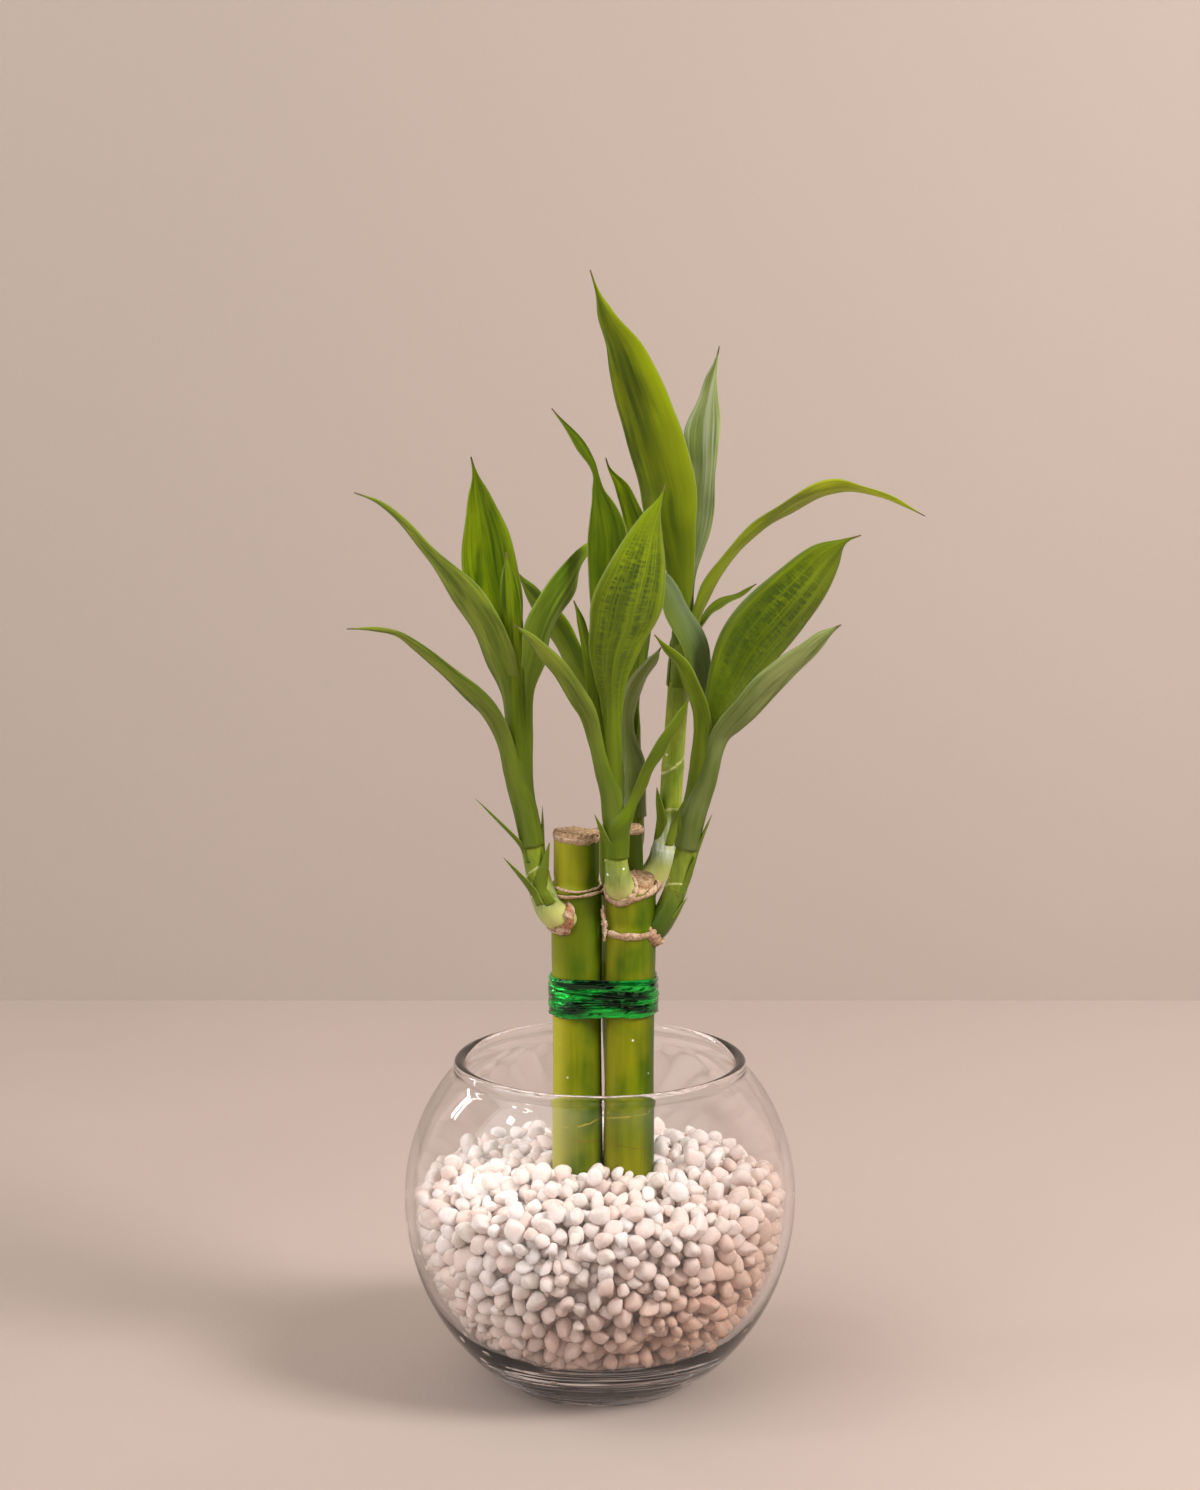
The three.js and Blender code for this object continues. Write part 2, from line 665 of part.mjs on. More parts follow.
// The outline of a ribbon drawn tight round the three canes at the tie's height.
function tieOutline(grow) {
  const height = (TIE.bottom + TIE.top) / 2;
  const rings = Object.values(CANES).map((cane) => ({
    middle: new THREE.Vector2(...caneAxis(cane, height)),
    radius: cane.radius + grow,
  }));
  const points = [];
  for (let i = 0; i < TIE.sides; i++) {
    const angle = (i / TIE.sides) * Math.PI * 2;
    const direction = new THREE.Vector2(Math.cos(angle), Math.sin(angle));
    const reach = ({ middle, radius }) => middle.dot(direction) + radius;
    const outermost = rings.reduce((best, ring) => (reach(ring) > reach(best) ? ring : best));
    points.push(outermost.middle.clone().addScaledVector(direction, outermost.radius));
  }
  return points;
}

function tieSolid() {
  const lowest = (TIE.bottom + TIE.top - TIE.ribbon) / 2;
  const turns = TIE.turns.map(({ rise, slope }, i) => {
    const loop = new THREE.Shape(tieOutline(GAP + TIE.thickness + i * TIE.step));
    loop.holes.push(new THREE.Path(tieOutline(GAP)));
    const geometry = new THREE.ExtrudeGeometry(loop, { depth: TIE.ribbon, bevelEnabled: false });
    const position = geometry.getAttribute('position');
    for (let k = 0; k < position.count; k++) {
      const tilt = slope[0] * position.getX(k) + slope[1] * position.getY(k);
      position.setZ(k, position.getZ(k) + lowest + rise + tilt);
    }
    return toSolid(geometry);
  });
  return largest(union(turns));
}

// ---------------------------------------------------------------- shoots

function curveOf(points) {
  const corners = points.map((point) => new THREE.Vector3(...point));
  return new THREE.CatmullRomCurve3(corners, false, 'centripetal');
}

// The share of a rising curve's length at which it reaches a height.
function shareAtHeight(curve, height) {
  let low = 0;
  let high = 1;
  for (let i = 0; i < 20; i++) {
    const half = (low + high) / 2;
    if (curve.getPointAt(half).z < height) low = half;
    else high = half;
  }
  return low;
}

// The stem's radius at a share of its length: a collar at the root, rings, and a thin core
// past the neck, inside the leaf bases.
function stemRadius({ path, radius, rings, neck }, along) {
  const { core, shoulder, collarRise, collarShare, collarLength, ringRise, ringLength } = STEM;
  const swell = (share, length) => Math.exp(-(((along - share) / length) ** 2));
  const collar = collarRise * swell(collarShare, collarLength);
  const bumps = rings.map((ring) => ringRise * swell(ring, ringLength));
  const height = curveOf(path).getPointAt(along).z;
  const slim = THREE.MathUtils.smoothstep(height, neck, neck + shoulder);
  return THREE.MathUtils.lerp(radius, core, slim) + collar + bumps.reduce((sum, bump) => sum + bump, 0);
}

// A lathe bent along the shoot's path: height in the lathe becomes distance on the path.
function stemSolid(shoot, grow) {
  const curve = curveOf(shoot.path);
  const neck = [0, STEM.shoulder].map((above) => shareAtHeight(curve, shoot.neck + above));
  const root = [0, 0.05, 0.1, 0.16, 0.22];
  const ends = [0.97, 1];
  const shares = [...root, ...neck, ...ends];
  for (const ring of shoot.rings) {
    shares.push(ring - 2 * STEM.ringLength, ring - STEM.ringLength / 2, ring + STEM.ringLength);
  }
  for (let share = 0.3; share < ends[0]; share += 0.1) shares.push(share);
  const profile = shares.sort((low, high) => low - high).map((along) => {
    const narrowing = along === 1 ? STEM.tip : 1;
    return [stemRadius(shoot, along) * narrowing + grow, along];
  });
  const reach = 1 + grow / curve.getLength();
  profile[profile.length - 1][1] = reach;
  const geometry = latheZ([[0, 0], ...profile, [0, reach]], STEM.sides);
  const position = geometry.getAttribute('position');
  const across = new THREE.Vector3();
  for (let i = 0; i < position.count; i++) {
    const along = THREE.MathUtils.clamp(position.getZ(i), 0, 1);
    const beyond = Math.max(position.getZ(i) - 1, 0) * curve.getLength();
    const tangent = curve.getTangentAt(along);
    const middle = curve.getPointAt(along).addScaledVector(tangent, beyond);
    across.set(position.getX(i), position.getY(i), 0);
    across.applyQuaternion(new THREE.Quaternion().setFromUnitVectors(UP, tangent));
    position.setXYZ(i, middle.x + across.x, middle.y + across.y, middle.z + across.z);
  }
  return toSolid(geometry);
}

// ---------------------------------------------------------------- leaves and bracts

// A closed blade from cross-sections: each is a row of { inner, outer } points.
function bladeSolid(sections) {
  const points = sections.flatMap((row) => row.flatMap(({ inner, outer }) => [inner, outer]));
  const wide = sections[0].length;
  const id = (station, column, face) => (station * wide + column) * 2 + face;
  const triangles = [];
  const quad = (a, b, c, d) => triangles.push(a, b, c, a, c, d);
  for (let i = 0; i + 1 < sections.length; i++) {
    for (let k = 0; k + 1 < wide; k++) {
      quad(id(i, k, 0), id(i, k + 1, 0), id(i + 1, k + 1, 0), id(i + 1, k, 0));
      triangles.push(id(i, k, 1), id(i + 1, k + 1, 1), id(i, k + 1, 1));
      triangles.push(id(i, k, 1), id(i + 1, k, 1), id(i + 1, k + 1, 1));
    }
    quad(id(i, 0, 0), id(i + 1, 0, 0), id(i + 1, 0, 1), id(i, 0, 1));
    quad(id(i, wide - 1, 1), id(i + 1, wide - 1, 1), id(i + 1, wide - 1, 0), id(i, wide - 1, 0));
  }
  const last = sections.length - 1;
  for (let k = 0; k + 1 < wide; k++) {
    quad(id(0, k, 1), id(0, k + 1, 1), id(0, k + 1, 0), id(0, k, 0));
    quad(id(last, k, 0), id(last, k + 1, 0), id(last, k + 1, 1), id(last, k, 1));
  }
  const geometry = new THREE.BufferGeometry();
  geometry.setFromPoints(points);
  geometry.setIndex(triangles);
  return toSolid(geometry);
}

// One cross-section: an arc of half-angle `fold` that opens towards `normal`.
// Its back lies on `middle`, or its half depth does where `centred` is 1.
function bladeSection({ middle, tangent, normal, width, fold, centred, grow, columns = LEAF.across }) {
  const side = new THREE.Vector3().crossVectors(tangent, normal);
  const curveRadius = width / 2 / fold;
  const row = [];
  for (let k = 0; k <= columns; k++) {
    const share = (k / columns) * 2 - 1;
    const angle = fold * share;
    const thickness = THREE.MathUtils.lerp(LEAF.thickness, LEAF.edge, share * share) / 2 + grow;
    const atEdge = Math.abs(share) === 1;
    const reach = curveRadius * Math.sin(angle) + (atEdge ? grow * share : 0);
    const depth = curveRadius * (1 - Math.cos(angle) - (centred * (1 - Math.cos(fold))) / 2);
    const point = middle.clone().addScaledVector(side, reach).addScaledVector(normal, depth);
    const away = normal.clone().multiplyScalar(Math.cos(angle));
    away.addScaledVector(side, -Math.sin(angle));
    row.push({
      inner: point.clone().addScaledVector(away, thickness),
      outer: point.clone().addScaledVector(away, -thickness),
    });
  }
  return row;
}

// The way that a blade faces which runs along `tangent` and leans `outward`: up and in.
function bladeNormal(tangent, outward) {
  const normal = UP.clone().sub(outward);
  return normal.addScaledVector(tangent, -normal.dot(tangent)).normalize();
}

function leafSolid(leaf, shoot, grow) {
  const { degToRad, smoothstep, lerp } = THREE.MathUtils;
  const stem = curveOf(shoot.path);
  const low = shareAtHeight(stem, leaf.base);
  const angle = degToRad(leaf.side);
  const outward = new THREE.Vector3(Math.cos(angle), Math.sin(angle), 0);
  const layers = LEAF.thickness / 2 + leaf.layer * (LEAF.thickness + LEAF_GAP);
  const clasp = stemRadius(shoot, low) + LEAF_GAP + layers;
  const start = stem.getPointAt(low).addScaledVector(outward, clasp);
  const climb = start.clone().addScaledVector(stem.getTangentAt(low), LEAF.clasp);
  climb.addScaledVector(outward, LEAF.lean);
  const ribPoints = leaf.rib.map(([x, y, z]) => [x, y, z]);
  const rib = curveOf([start.toArray(), climb.toArray(), ...ribPoints]);
  const length = rib.getLength();
  const claspFold = degToRad(LEAF.claspAngle);
  const openFold = degToRad(LEAF.openAngle);
  const claspWidth = clasp * claspFold * 2;
  const widths = [claspWidth, claspWidth, ...leaf.rib.map((point) => point[3])];
  const sections = [];
  for (let i = 0; i <= LEAF.steps; i++) {
    const along = i / LEAF.steps;
    const tangent = rib.getTangentAt(along);
    const opened = smoothstep(along * length, LEAF.opensFrom, LEAF.opensTo);
    const normal = bladeNormal(tangent, outward);
    normal.applyAxisAngle(tangent, degToRad((leaf.roll ?? 0) * opened));
    const station = rib.getUtoTmapping(along) * (widths.length - 1);
    const before = Math.min(Math.floor(station), widths.length - 2);
    const width = lerp(widths[before], widths[before + 1], station - before);
    const fold = lerp(claspFold, openFold, opened);
    const middle = rib.getPointAt(along);
    sections.push(bladeSection({ middle, tangent, normal, width, fold, centred: opened, grow }));
  }
  return bladeSolid(sections);
}

// A short pointed scale on a stem, hollow towards the stem.
function bractSolid({ root, tip, width }, grow) {
  const start = new THREE.Vector3(...root);
  const end = new THREE.Vector3(...tip);
  const tangent = end.clone().sub(start).normalize();
  const outward = new THREE.Vector3(tangent.x, tangent.y, 0).normalize();
  const normal = bladeNormal(tangent, outward);
  const sections = [];
  for (let i = 0; i <= BRACT.steps; i++) {
    const along = i / BRACT.steps;
    const bulge = 4 * BRACT.bulge * along * (1 - along);
    sections.push(bladeSection({
      middle: start.clone().lerp(end, along).addScaledVector(normal, bulge),
      tangent,
      normal,
      width: Math.max(width * (1 - along ** BRACT.taper), BRACT.tipWidth),
      fold: THREE.MathUtils.degToRad(BRACT.angle),
      centred: 0,
      columns: BRACT.across,
      grow,
    }));
  }
  return bladeSolid(sections);
}

// ---------------------------------------------------------------- the plant

const plant = new THREE.Group();

plant.add(toMesh('bowl', bowlSolid(), LOOK.glass));
plant.add(toMesh('pebbles', pebbleBed(), LOOK.pebbles));
for (const [name, cane] of Object.entries(CANES)) {
  plant.add(toMesh(name, caneSolid(cane, 0), LOOK.cane));
}
plant.add(toMesh('tie', tieSolid(), LOOK.foil));

function shootSolid(shoot, grow) {
  const bracts = shoot.bracts.map((bract) => bractSolid(bract, grow));
  return union([stemSolid(shoot, grow), ...bracts]);
}

// Each shoot and leaf is cut clear of what stands nearer to the canes.
let taken = union(Object.values(CANES).map((cane) => caneSolid(cane, GAP)));
for (const [letter, shoot] of Object.entries(SHOOTS)) {
  plant.add(toMesh(`shoot_${letter}`, largest(shootSolid(shoot, 0).subtract(taken)), LOOK.shoot));
  taken = taken.add(shootSolid(shoot, LEAF_GAP));
}
for (const [letter, shoot] of Object.entries(SHOOTS)) {
  for (const [place, leaf] of Object.entries(LEAVES[letter])) {
    const blade = largest(leafSolid(leaf, shoot, 0).subtract(taken));
    plant.add(toMesh(`leaf_${letter}_${place}`, blade, LOOK.leaf));
    taken = taken.add(leafSolid(leaf, shoot, LEAF_GAP));
  }
}

export default plant;
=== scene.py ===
# %% [markdown]
# # Lucky bamboo in a glass bubble bowl
#
# A small houseplant: three cut green canes, tied with foil ribbon, stand in white pebbles in a
# round glass bowl, and leafy shoots grow from their upper joints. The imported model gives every
# piece its place and size. This lesson gives each piece its fine shape and its finish.
# Lengths are written in millimetres and turned into metres where a mesh is made. Places in
# materials and of lamps are in metres.

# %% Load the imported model
import math
from functools import cached_property, reduce

import bmesh
import bpy
import numpy as np
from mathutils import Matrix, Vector


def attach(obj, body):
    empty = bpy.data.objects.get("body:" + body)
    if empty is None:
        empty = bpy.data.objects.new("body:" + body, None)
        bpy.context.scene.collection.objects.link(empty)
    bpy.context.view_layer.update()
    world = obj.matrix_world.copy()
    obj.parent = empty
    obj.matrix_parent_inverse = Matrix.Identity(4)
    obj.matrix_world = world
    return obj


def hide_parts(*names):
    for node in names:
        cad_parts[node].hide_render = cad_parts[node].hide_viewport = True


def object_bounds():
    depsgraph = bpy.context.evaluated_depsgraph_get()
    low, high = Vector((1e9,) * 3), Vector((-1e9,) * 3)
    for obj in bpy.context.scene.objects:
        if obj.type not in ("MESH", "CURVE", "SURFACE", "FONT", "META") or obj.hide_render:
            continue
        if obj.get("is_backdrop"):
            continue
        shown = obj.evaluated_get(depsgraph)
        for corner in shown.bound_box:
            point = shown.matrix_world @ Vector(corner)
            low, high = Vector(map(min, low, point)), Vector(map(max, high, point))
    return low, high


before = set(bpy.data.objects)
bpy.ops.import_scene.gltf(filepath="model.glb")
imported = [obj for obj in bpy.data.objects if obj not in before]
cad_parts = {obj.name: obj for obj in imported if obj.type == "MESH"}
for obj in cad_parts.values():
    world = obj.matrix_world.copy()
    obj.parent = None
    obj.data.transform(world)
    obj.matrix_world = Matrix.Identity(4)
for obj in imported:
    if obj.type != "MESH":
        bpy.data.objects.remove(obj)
cad_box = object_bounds()
MM = 0.001
print("model:", len(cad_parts), "nodes, box", [[round(v, 4) for v in c] for c in cad_box])

# %% [markdown]
# ## Camera and room
#
# The plant is seen from a little above, through a long lens, as in a product photograph.
# The floor is a plain pale table that meets a wall not far behind it. The wall's back lets
# everything through, so that it never hides the plant from a camera behind it.

# %% Camera
TILT_DOWN, LENS_MM = 10.4, 85
scene = bpy.context.scene
lens = bpy.data.cameras.new("camera")
lens.lens = LENS_MM
camera = bpy.data.objects.new("camera", lens)
camera.location = (0, -0.884, 0.3315)
camera.rotation_euler = (math.radians(90 - TILT_DOWN), 0, 0)
scene.collection.objects.link(camera)
scene.camera = camera
scene.view_settings.view_transform = "Standard"
print("camera at", tuple(camera.location))

# %% [markdown]
# ## A short hand for finishes
#
# A finish is a small network of nodes. This helper adds nodes and links them, so that each
# finish below reads as a short recipe. In a recipe, `m` is the finish that is being made.


# %% Node trees
class Look:
    """A node tree, with short ways to add what the finishes below need."""

    def __init__(self, tree, place=None):
        self.tree = tree
        if place is not None:
            self.place = place

    @cached_property
    def place(self):
        """Where a point lies, in the piece's own frame."""
        return self.add("TexCoord").outputs["Object"]

    @cached_property
    def sides(self):
        """The same place as X, Y and Z."""
        return self.add("SeparateXYZ", Vector=self.place).outputs

    def feed(self, socket, value):
        """Sets an input to a value, or links an output to it. A colour may leave out its alpha."""
        if isinstance(value, bpy.types.NodeSocket):
            self.tree.links.new(value, socket)
        elif socket.type == "RGBA":
            socket.default_value = (*value, 1)[:4]
        else:
            socket.default_value = value

    def add(self, kind, **sockets):
        """A new shader node with its named inputs filled in."""
        node = self.tree.nodes.new("ShaderNode" + kind)
        for label, value in sockets.items():
            self.feed(node.inputs[label.replace("_", " ")], value)
        return node

    def calc(self, what, *values, kind="Math", out=0):
        """What a Math or Vector Math node makes of some values."""
        node = self.add(kind)
        node.operation = what
        for socket, value in zip(node.inputs, values):
            self.feed(socket, value)
        return node.outputs[out]

    def times(self, *values):
        return reduce(lambda a, b: self.calc("MULTIPLY", a, b), values)

    def blend(self, share, low, high):
        """A colour between two others, as far along as `share` says."""
        node = self.add("Mix")
        node.data_type = "RGBA"
        for place, value in ((0, share), (6, low), (7, high)):
            self.feed(node.inputs[place], value)
        return node.outputs[2]

    def over(self, colour, top, *masks):
        """A colour laid over another, as strongly as the product of the masks."""
        return self.blend(self.times(*masks), colour, top)

    def ramp(self, value, low, high, smooth=True):
        """0 below `low` and 1 above `high`. With high under low it falls instead."""
        node = self.add("MapRange", Value=value, From_Min=low, From_Max=high)
        node.interpolation_type = "SMOOTHSTEP" if smooth else "LINEAR"
        return node.outputs["Result"]

    def tag(self, name):
        """A number that a piece's mesh carries at each of its points."""
        node = self.add("Attribute")
        node.attribute_name = name
        return node.outputs["Fac"]

    def noise(self, scale, detail, **more):
        node = self.add("TexNoise", Vector=self.place, Scale=scale, Detail=detail, **more)
        return node.outputs["Fac"]

    def mask(self, group, **sockets):
        """The mask that a shared effect gives at this look's place."""
        node = self.add("Group")
        node.node_tree = bpy.data.node_groups[group]
        for label, value in dict(Place=self.place, **sockets).items():
            self.feed(node.inputs[label], value)
        return node.outputs["Mask"]

    def streaks(self, stretch, low, high):
        return self.mask("streaks", Stretch=stretch, From=low, To=high)

    def bump(self, strength, distance, height):
        node = self.add("Bump", Strength=strength, Distance=distance, Height=height)
        return node.outputs["Normal"]

    def principled(self, **sockets):
        return self.add("BsdfPrincipled", **sockets).outputs[0]

    def mix(self, share, first, second):
        """Two shaders mixed."""
        node = self.add("MixShader", Fac=share)
        self.feed(node.inputs[1], first)
        self.feed(node.inputs[2], second)
        return node.outputs[0]

    def surface(self, shader):
        """Puts a shader on the surface and gives the finished material."""
        self.feed(self.add("OutputMaterial").inputs["Surface"], shader)
        return self.material


def new_look(name):
    """The empty look of a new material."""
    material = bpy.data.materials.new(name)
    material.use_nodes = True
    material.node_tree.nodes.clear()
    look = Look(material.node_tree)
    look.material = material
    return look


def scaled(factor, colour):
    return tuple(factor * c for c in colour)


# %% Table and wall
WALL_Y, SPREAD = 0.393, 4.0


def stage_plane(name, finish, corners, colour, weave, painted_left_shade):
    """A flat sheet of the set in a finely grained finish, with painted shade that darkens its left
    side by a given factor.
    """
    m = new_look(finish)
    # Painted shade: the sheet is painted darker towards its left, where the shadow falls.
    shade = m.blend(m.ramp(m.sides["X"], -0.35, 0.35), scaled(painted_left_shade, colour), colour)
    shade = m.blend(m.ramp(m.noise(3.0, 4.0), 0.7, 0.3), shade, scaled(0.94, colour))
    grain = m.bump(0.12, 0.0006, m.noise(weave, 2.0))
    cloth = m.principled(Base_Color=shade, Roughness=0.8, Normal=grain)
    behind = m.add("NewGeometry").outputs["Backfacing"]
    mesh = bpy.data.meshes.new(name)
    mesh.from_pydata(corners, [], [(0, 1, 2, 3)])
    mesh.materials.append(m.surface(m.mix(behind, cloth, m.add("BsdfTransparent").outputs[0])))
    plane = bpy.data.objects.new(name, mesh)
    scene.collection.objects.link(plane)
    plane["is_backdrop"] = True


near, far = [[(-SPREAD, y, 0), (SPREAD, y, 0)] for y in (-SPREAD, WALL_Y)]
high = [(SPREAD, WALL_Y, SPREAD), (-SPREAD, WALL_Y, SPREAD)]
stage_plane("table", "table_cloth", near + far[::-1], (0.488, 0.392, 0.344), 900.0, 0.80)
stage_plane("wall", "painted_wall", far + high, (0.488, 0.402, 0.35), 300.0, 0.94)
print("table and wall, meeting at y =", WALL_Y)

# %% [markdown]
# ## Light
#
# A soft lamp stands on the right, so the main shadow falls to the left, and a wider one fills
# in from the front left. Both are kept out of reflections. The room glows from the left and is
# dark near the ground and in front, so that the glass stays clear over the canes and shows
# dark edges. Three small windows on the left give the bright marks on it.

# %% Lamps and room light
AIM, ROOM_LIGHT = Vector((0, 0, 0.12)), 0.8
LAMPS = (  # place, size, power, and whether the glass may mirror it
    ("softbox", (0.86, -0.45, 0.92), (0.4, 0.4), 16.5, False),
    ("fill", (-0.62, -1.12, 0.98), (1.2, 1.0), 8.2, False),
    ("window_left", (-0.56, 0.33, 0.385), (0.03, 0.27), 0.5, True),
    ("window_middle", (-1.02, -0.2, 0.98), (0.07, 0.09), 0.35, True),
    ("window_high", (-0.83, -0.14, 1.24), (0.07, 0.2), 1.0, True),
)
for name, place, size, power, mirrored in LAMPS:
    light = bpy.data.lights.new(name, "AREA")
    light.shape = "RECTANGLE"
    light.size, light.size_y = size
    light.energy = power
    light.color = (1.0, 0.99, 0.98 if mirrored else 0.97)
    lamp = bpy.data.objects.new(name, light)
    lamp.location = place
    lamp.rotation_mode = "QUATERNION"
    lamp.rotation_quaternion = (AIM - Vector(place)).to_track_quat("-Z", "Y")
    lamp.visible_glossy = lamp.visible_transmission = mirrored
    scene.collection.objects.link(lamp)

room = bpy.data.worlds.new("pale_room")
room.use_nodes = True
m = Look(room.node_tree)
way = m.add("TexCoord").outputs["Generated"]
sky = m.ramp(m.add("SeparateXYZ", Vector=way).outputs["Z"], 0.0, 0.8)
glow = m.blend(sky, (0.2, 0.19, 0.185), (0.95, 0.92, 0.90))
for direction, low, high, colour in (
    ((0.0, -0.92, 0.39), 0.5, 0.92, (0.08, 0.08, 0.085)),
    ((-0.88, -0.12, 0.46), 0.45, 1.0, (2.2, 2.17, 2.14)),
):
    agrees = m.calc("DOT_PRODUCT", way, direction, kind="VectorMath", out="Value")
    glow = m.blend(m.ramp(agrees, low, high), glow, colour)
background = room.node_tree.nodes["Background"].inputs
m.feed(background["Color"], glow)
m.feed(background["Strength"], ROOM_LIGHT)
scene.world = room

# %% [markdown]
# ## Making a skin
#
# Every piece here is a row of rings: a cane is a stack of circles, a leaf is a row of thin
# slices, a bowl is one outline turned about its middle. So one helper lays triangles between
# neighbouring rings, closes the ends and turns all faces outwards. It is exact, quick and
# gives the same points each time, where joining primitives with modifiers would not.


# %% Rings into a closed mesh
def skin(rings, looped=False):
    """Points and triangles of a closed surface through rings of equally many points."""
    rings = np.asarray(rings, float)
    count, around = rings.shape[:2]
    grid = np.arange(count * around).reshape(count, around)
    rows = np.vstack([grid, grid[:1]]) if looped else grid
    a, b = rows[:-1], np.roll(rows[:-1], -1, axis=1)
    d, c = rows[1:], np.roll(rows[1:], -1, axis=1)
    faces = [np.stack(corners, -1).reshape(-1, 3) for corners in ((a, b, c), (a, c, d))]
    points = rings.reshape(-1, 3)
    if not looped:
        middles = np.full(around, len(points)), np.full(around, len(points) + 1)
        points = np.vstack([points, rings[[0, -1]].mean(axis=1)])
        first, last = grid[0], grid[-1]
        faces.append(np.stack([middles[0], np.roll(first, -1), first], -1))
        faces.append(np.stack([middles[1], last, np.roll(last, -1)], -1))
    faces = np.vstack(faces)
    corner = points[faces]
    volume = np.einsum("ij,ij->i", corner[:, 0], np.cross(corner[:, 1], corner[:, 2])).sum()
    return points, faces if volume > 0 else faces[:, ::-1]


def for_ends(values):
    """A tag's values, one a point, with two more for the middles of the ends."""
    values = np.asarray(values, float)
    return np.concatenate([values.ravel(), [values[0].mean(), values[-1].mean()]])


def make_piece(name, points, faces, material, slot, smooth=True, **tags):
    """A mesh object from points in millimetres, riding on the model's only body."""
    mesh = bpy.data.meshes.new(name)
    mesh.vertices.add(len(points))
    mesh.vertices.foreach_set("co", (np.asarray(points) * MM).astype(np.float32).ravel())
    mesh.loops.add(faces.size)
    mesh.loops.foreach_set("vertex_index", faces.astype(np.int32).ravel())
    mesh.polygons.add(len(faces))
    mesh.polygons.foreach_set("loop_start", np.arange(0, faces.size, 3, dtype=np.int32))
    mesh.update(calc_edges=True)
    mesh.validate()
    if smooth:
        mesh.shade_smooth()
    for label, values in tags.items():
        layer = mesh.attributes.new(label, "FLOAT", "POINT")
        layer.data.foreach_set("value", np.asarray(values, np.float32).ravel())
    mesh.materials.append(material)
    piece = bpy.data.objects.new(name, mesh)
    scene.collection.objects.link(piece)
    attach(piece, "root")
    return piece


def full_turn(count):
    """Evenly spaced angles, once round."""
    return np.linspace(0, 2 * math.pi, count, endpoint=False)


def circle(x, y, radius, angle, height):
    """Points round an upright line through x and y."""
    places = x + radius * np.cos(angle), y + radius * np.sin(angle), height
    return np.stack(np.broadcast_arrays(*places), -1)


def turned(profile, around):
    """Rings from [radius, height] rows, turned about the upright axis."""
    radius, height = np.asarray(profile, float).T[:, :, None]
    return circle(0, 0, radius, full_turn(around), height)


def run_along(points):
    """How far each point of a line lies from its start, along the line."""
    return np.concatenate([[0], np.cumsum(np.linalg.norm(np.diff(points, axis=0), axis=1))])


def wave(angle, rng, terms=5, sharp=1.0):
    """A smooth random wave round a circle, about -1 to 1."""
    total = np.zeros_like(angle)
    for k in range(1, terms + 1):
        total += rng.normal() * np.sin(k * angle + rng.uniform(0, 6.3)) / k**sharp
    return total / max(np.abs(total).max(), 1e-6)


print("helpers ready")

# %% [markdown]
# ## Shared effects
#
# Three effects come back in several finishes: streaks that run with the grain, tiny pale
# specks, and thin lines at a given height, such as a scar round a cane. Each is a node group
# that gives a mask, and each material mixes its own colours with it.


# %% Node groups
def effect(name, **inputs):
    """A node group that takes a place and more, and gives a mask. A float makes a number input."""
    group = bpy.data.node_groups.new(name, "ShaderNodeTree")
    for label, value in dict(Place=(0, 0, 0), **inputs).items():
        kind = "NodeSocketFloat" if isinstance(value, float) else "NodeSocketVector"
        group.interface.new_socket(label, in_out="INPUT", socket_type=kind).default_value = value
    group.interface.new_socket("Mask", in_out="OUTPUT", socket_type="NodeSocketFloat")
    given = group.nodes.new("NodeGroupInput").outputs
    return Look(group, given["Place"]), given, group.nodes.new("NodeGroupOutput").inputs["Mask"]


m, given, result = effect("streaks", Stretch=(1, 1, 1), From=0.4, To=0.6)
stretched = m.calc("MULTIPLY", m.place, given["Stretch"], kind="VectorMath")
noise = m.add("TexNoise", Vector=stretched, Scale=1.0, Detail=3.0).outputs["Fac"]
m.feed(result, m.ramp(noise, given["From"], given["To"], smooth=False))

m, given, result = effect("specks", Scale=300.0, Size=0.12, Share=0.1)
cells = m.add("TexVoronoi", Vector=m.place, Scale=given["Scale"]).outputs
close = m.calc("LESS_THAN", cells["Distance"], given["Size"])
pick = m.add("SeparateColor", Color=cells["Color"]).outputs[0]
m.feed(result, m.times(close, m.calc("LESS_THAN", pick, given["Share"])))

m, given, result = effect("scar_line", Height=0.1, Lean=0.0, Width=0.0003)
level = m.calc("MULTIPLY_ADD", m.sides["X"], given["Lean"], given["Height"])
level = m.calc("MULTIPLY_ADD", m.noise(260.0, 2.0), 0.0016, level)
away = m.calc("ABSOLUTE", m.calc("SUBTRACT", m.sides["Z"], level))
m.feed(result, m.calc("LESS_THAN", away, given["Width"]))
print("node groups:", [g.name for g in bpy.data.node_groups])

# %% [markdown]
# ## The glass bowl
#
# A blown bubble bowl: a flat foot, a thick base that bends the light into dark and bright
# bands, a thin wall and a rounded rim. The base's dark and blue streaks and the brownish
# edges are also painted into the glass's tint, as painted reflections. Its outline is turned
# as one closed loop, because glass only looks right as a solid with an inside and an outside.
# Lamps shine through it, as light does through real thin glass, so the pebbles are lit without
# waiting for the rare rays that the curved wall would bend towards a lamp.

# %% Bowl outline
BODY_R, BODY_Z = 51.0, 50.0
FOOT_R, RIM_R, RIM_Z, BEAD_R = 23.5, 36.5, 85.4, 1.5
HOLLOW_R, HOLLOW_DEEP = 21, 0.6
WALL, HEEL_WALL, FLOOR_Z, FLOOR_POWER = 2.4, 3.2, 6.0, 10
FOOT_ANGLE = math.acos(FOOT_R / BODY_R)
OVAL = BODY_Z / math.sin(FOOT_ANGLE)
IN_R, IN_OVAL, IN_DEPTH = BODY_R - WALL, OVAL - HEEL_WALL, BODY_Z - FLOOR_Z
RIPPLE_HIGH, RIPPLE_TOP, RIPPLE_TURNS = 0.05, 16, 2.6


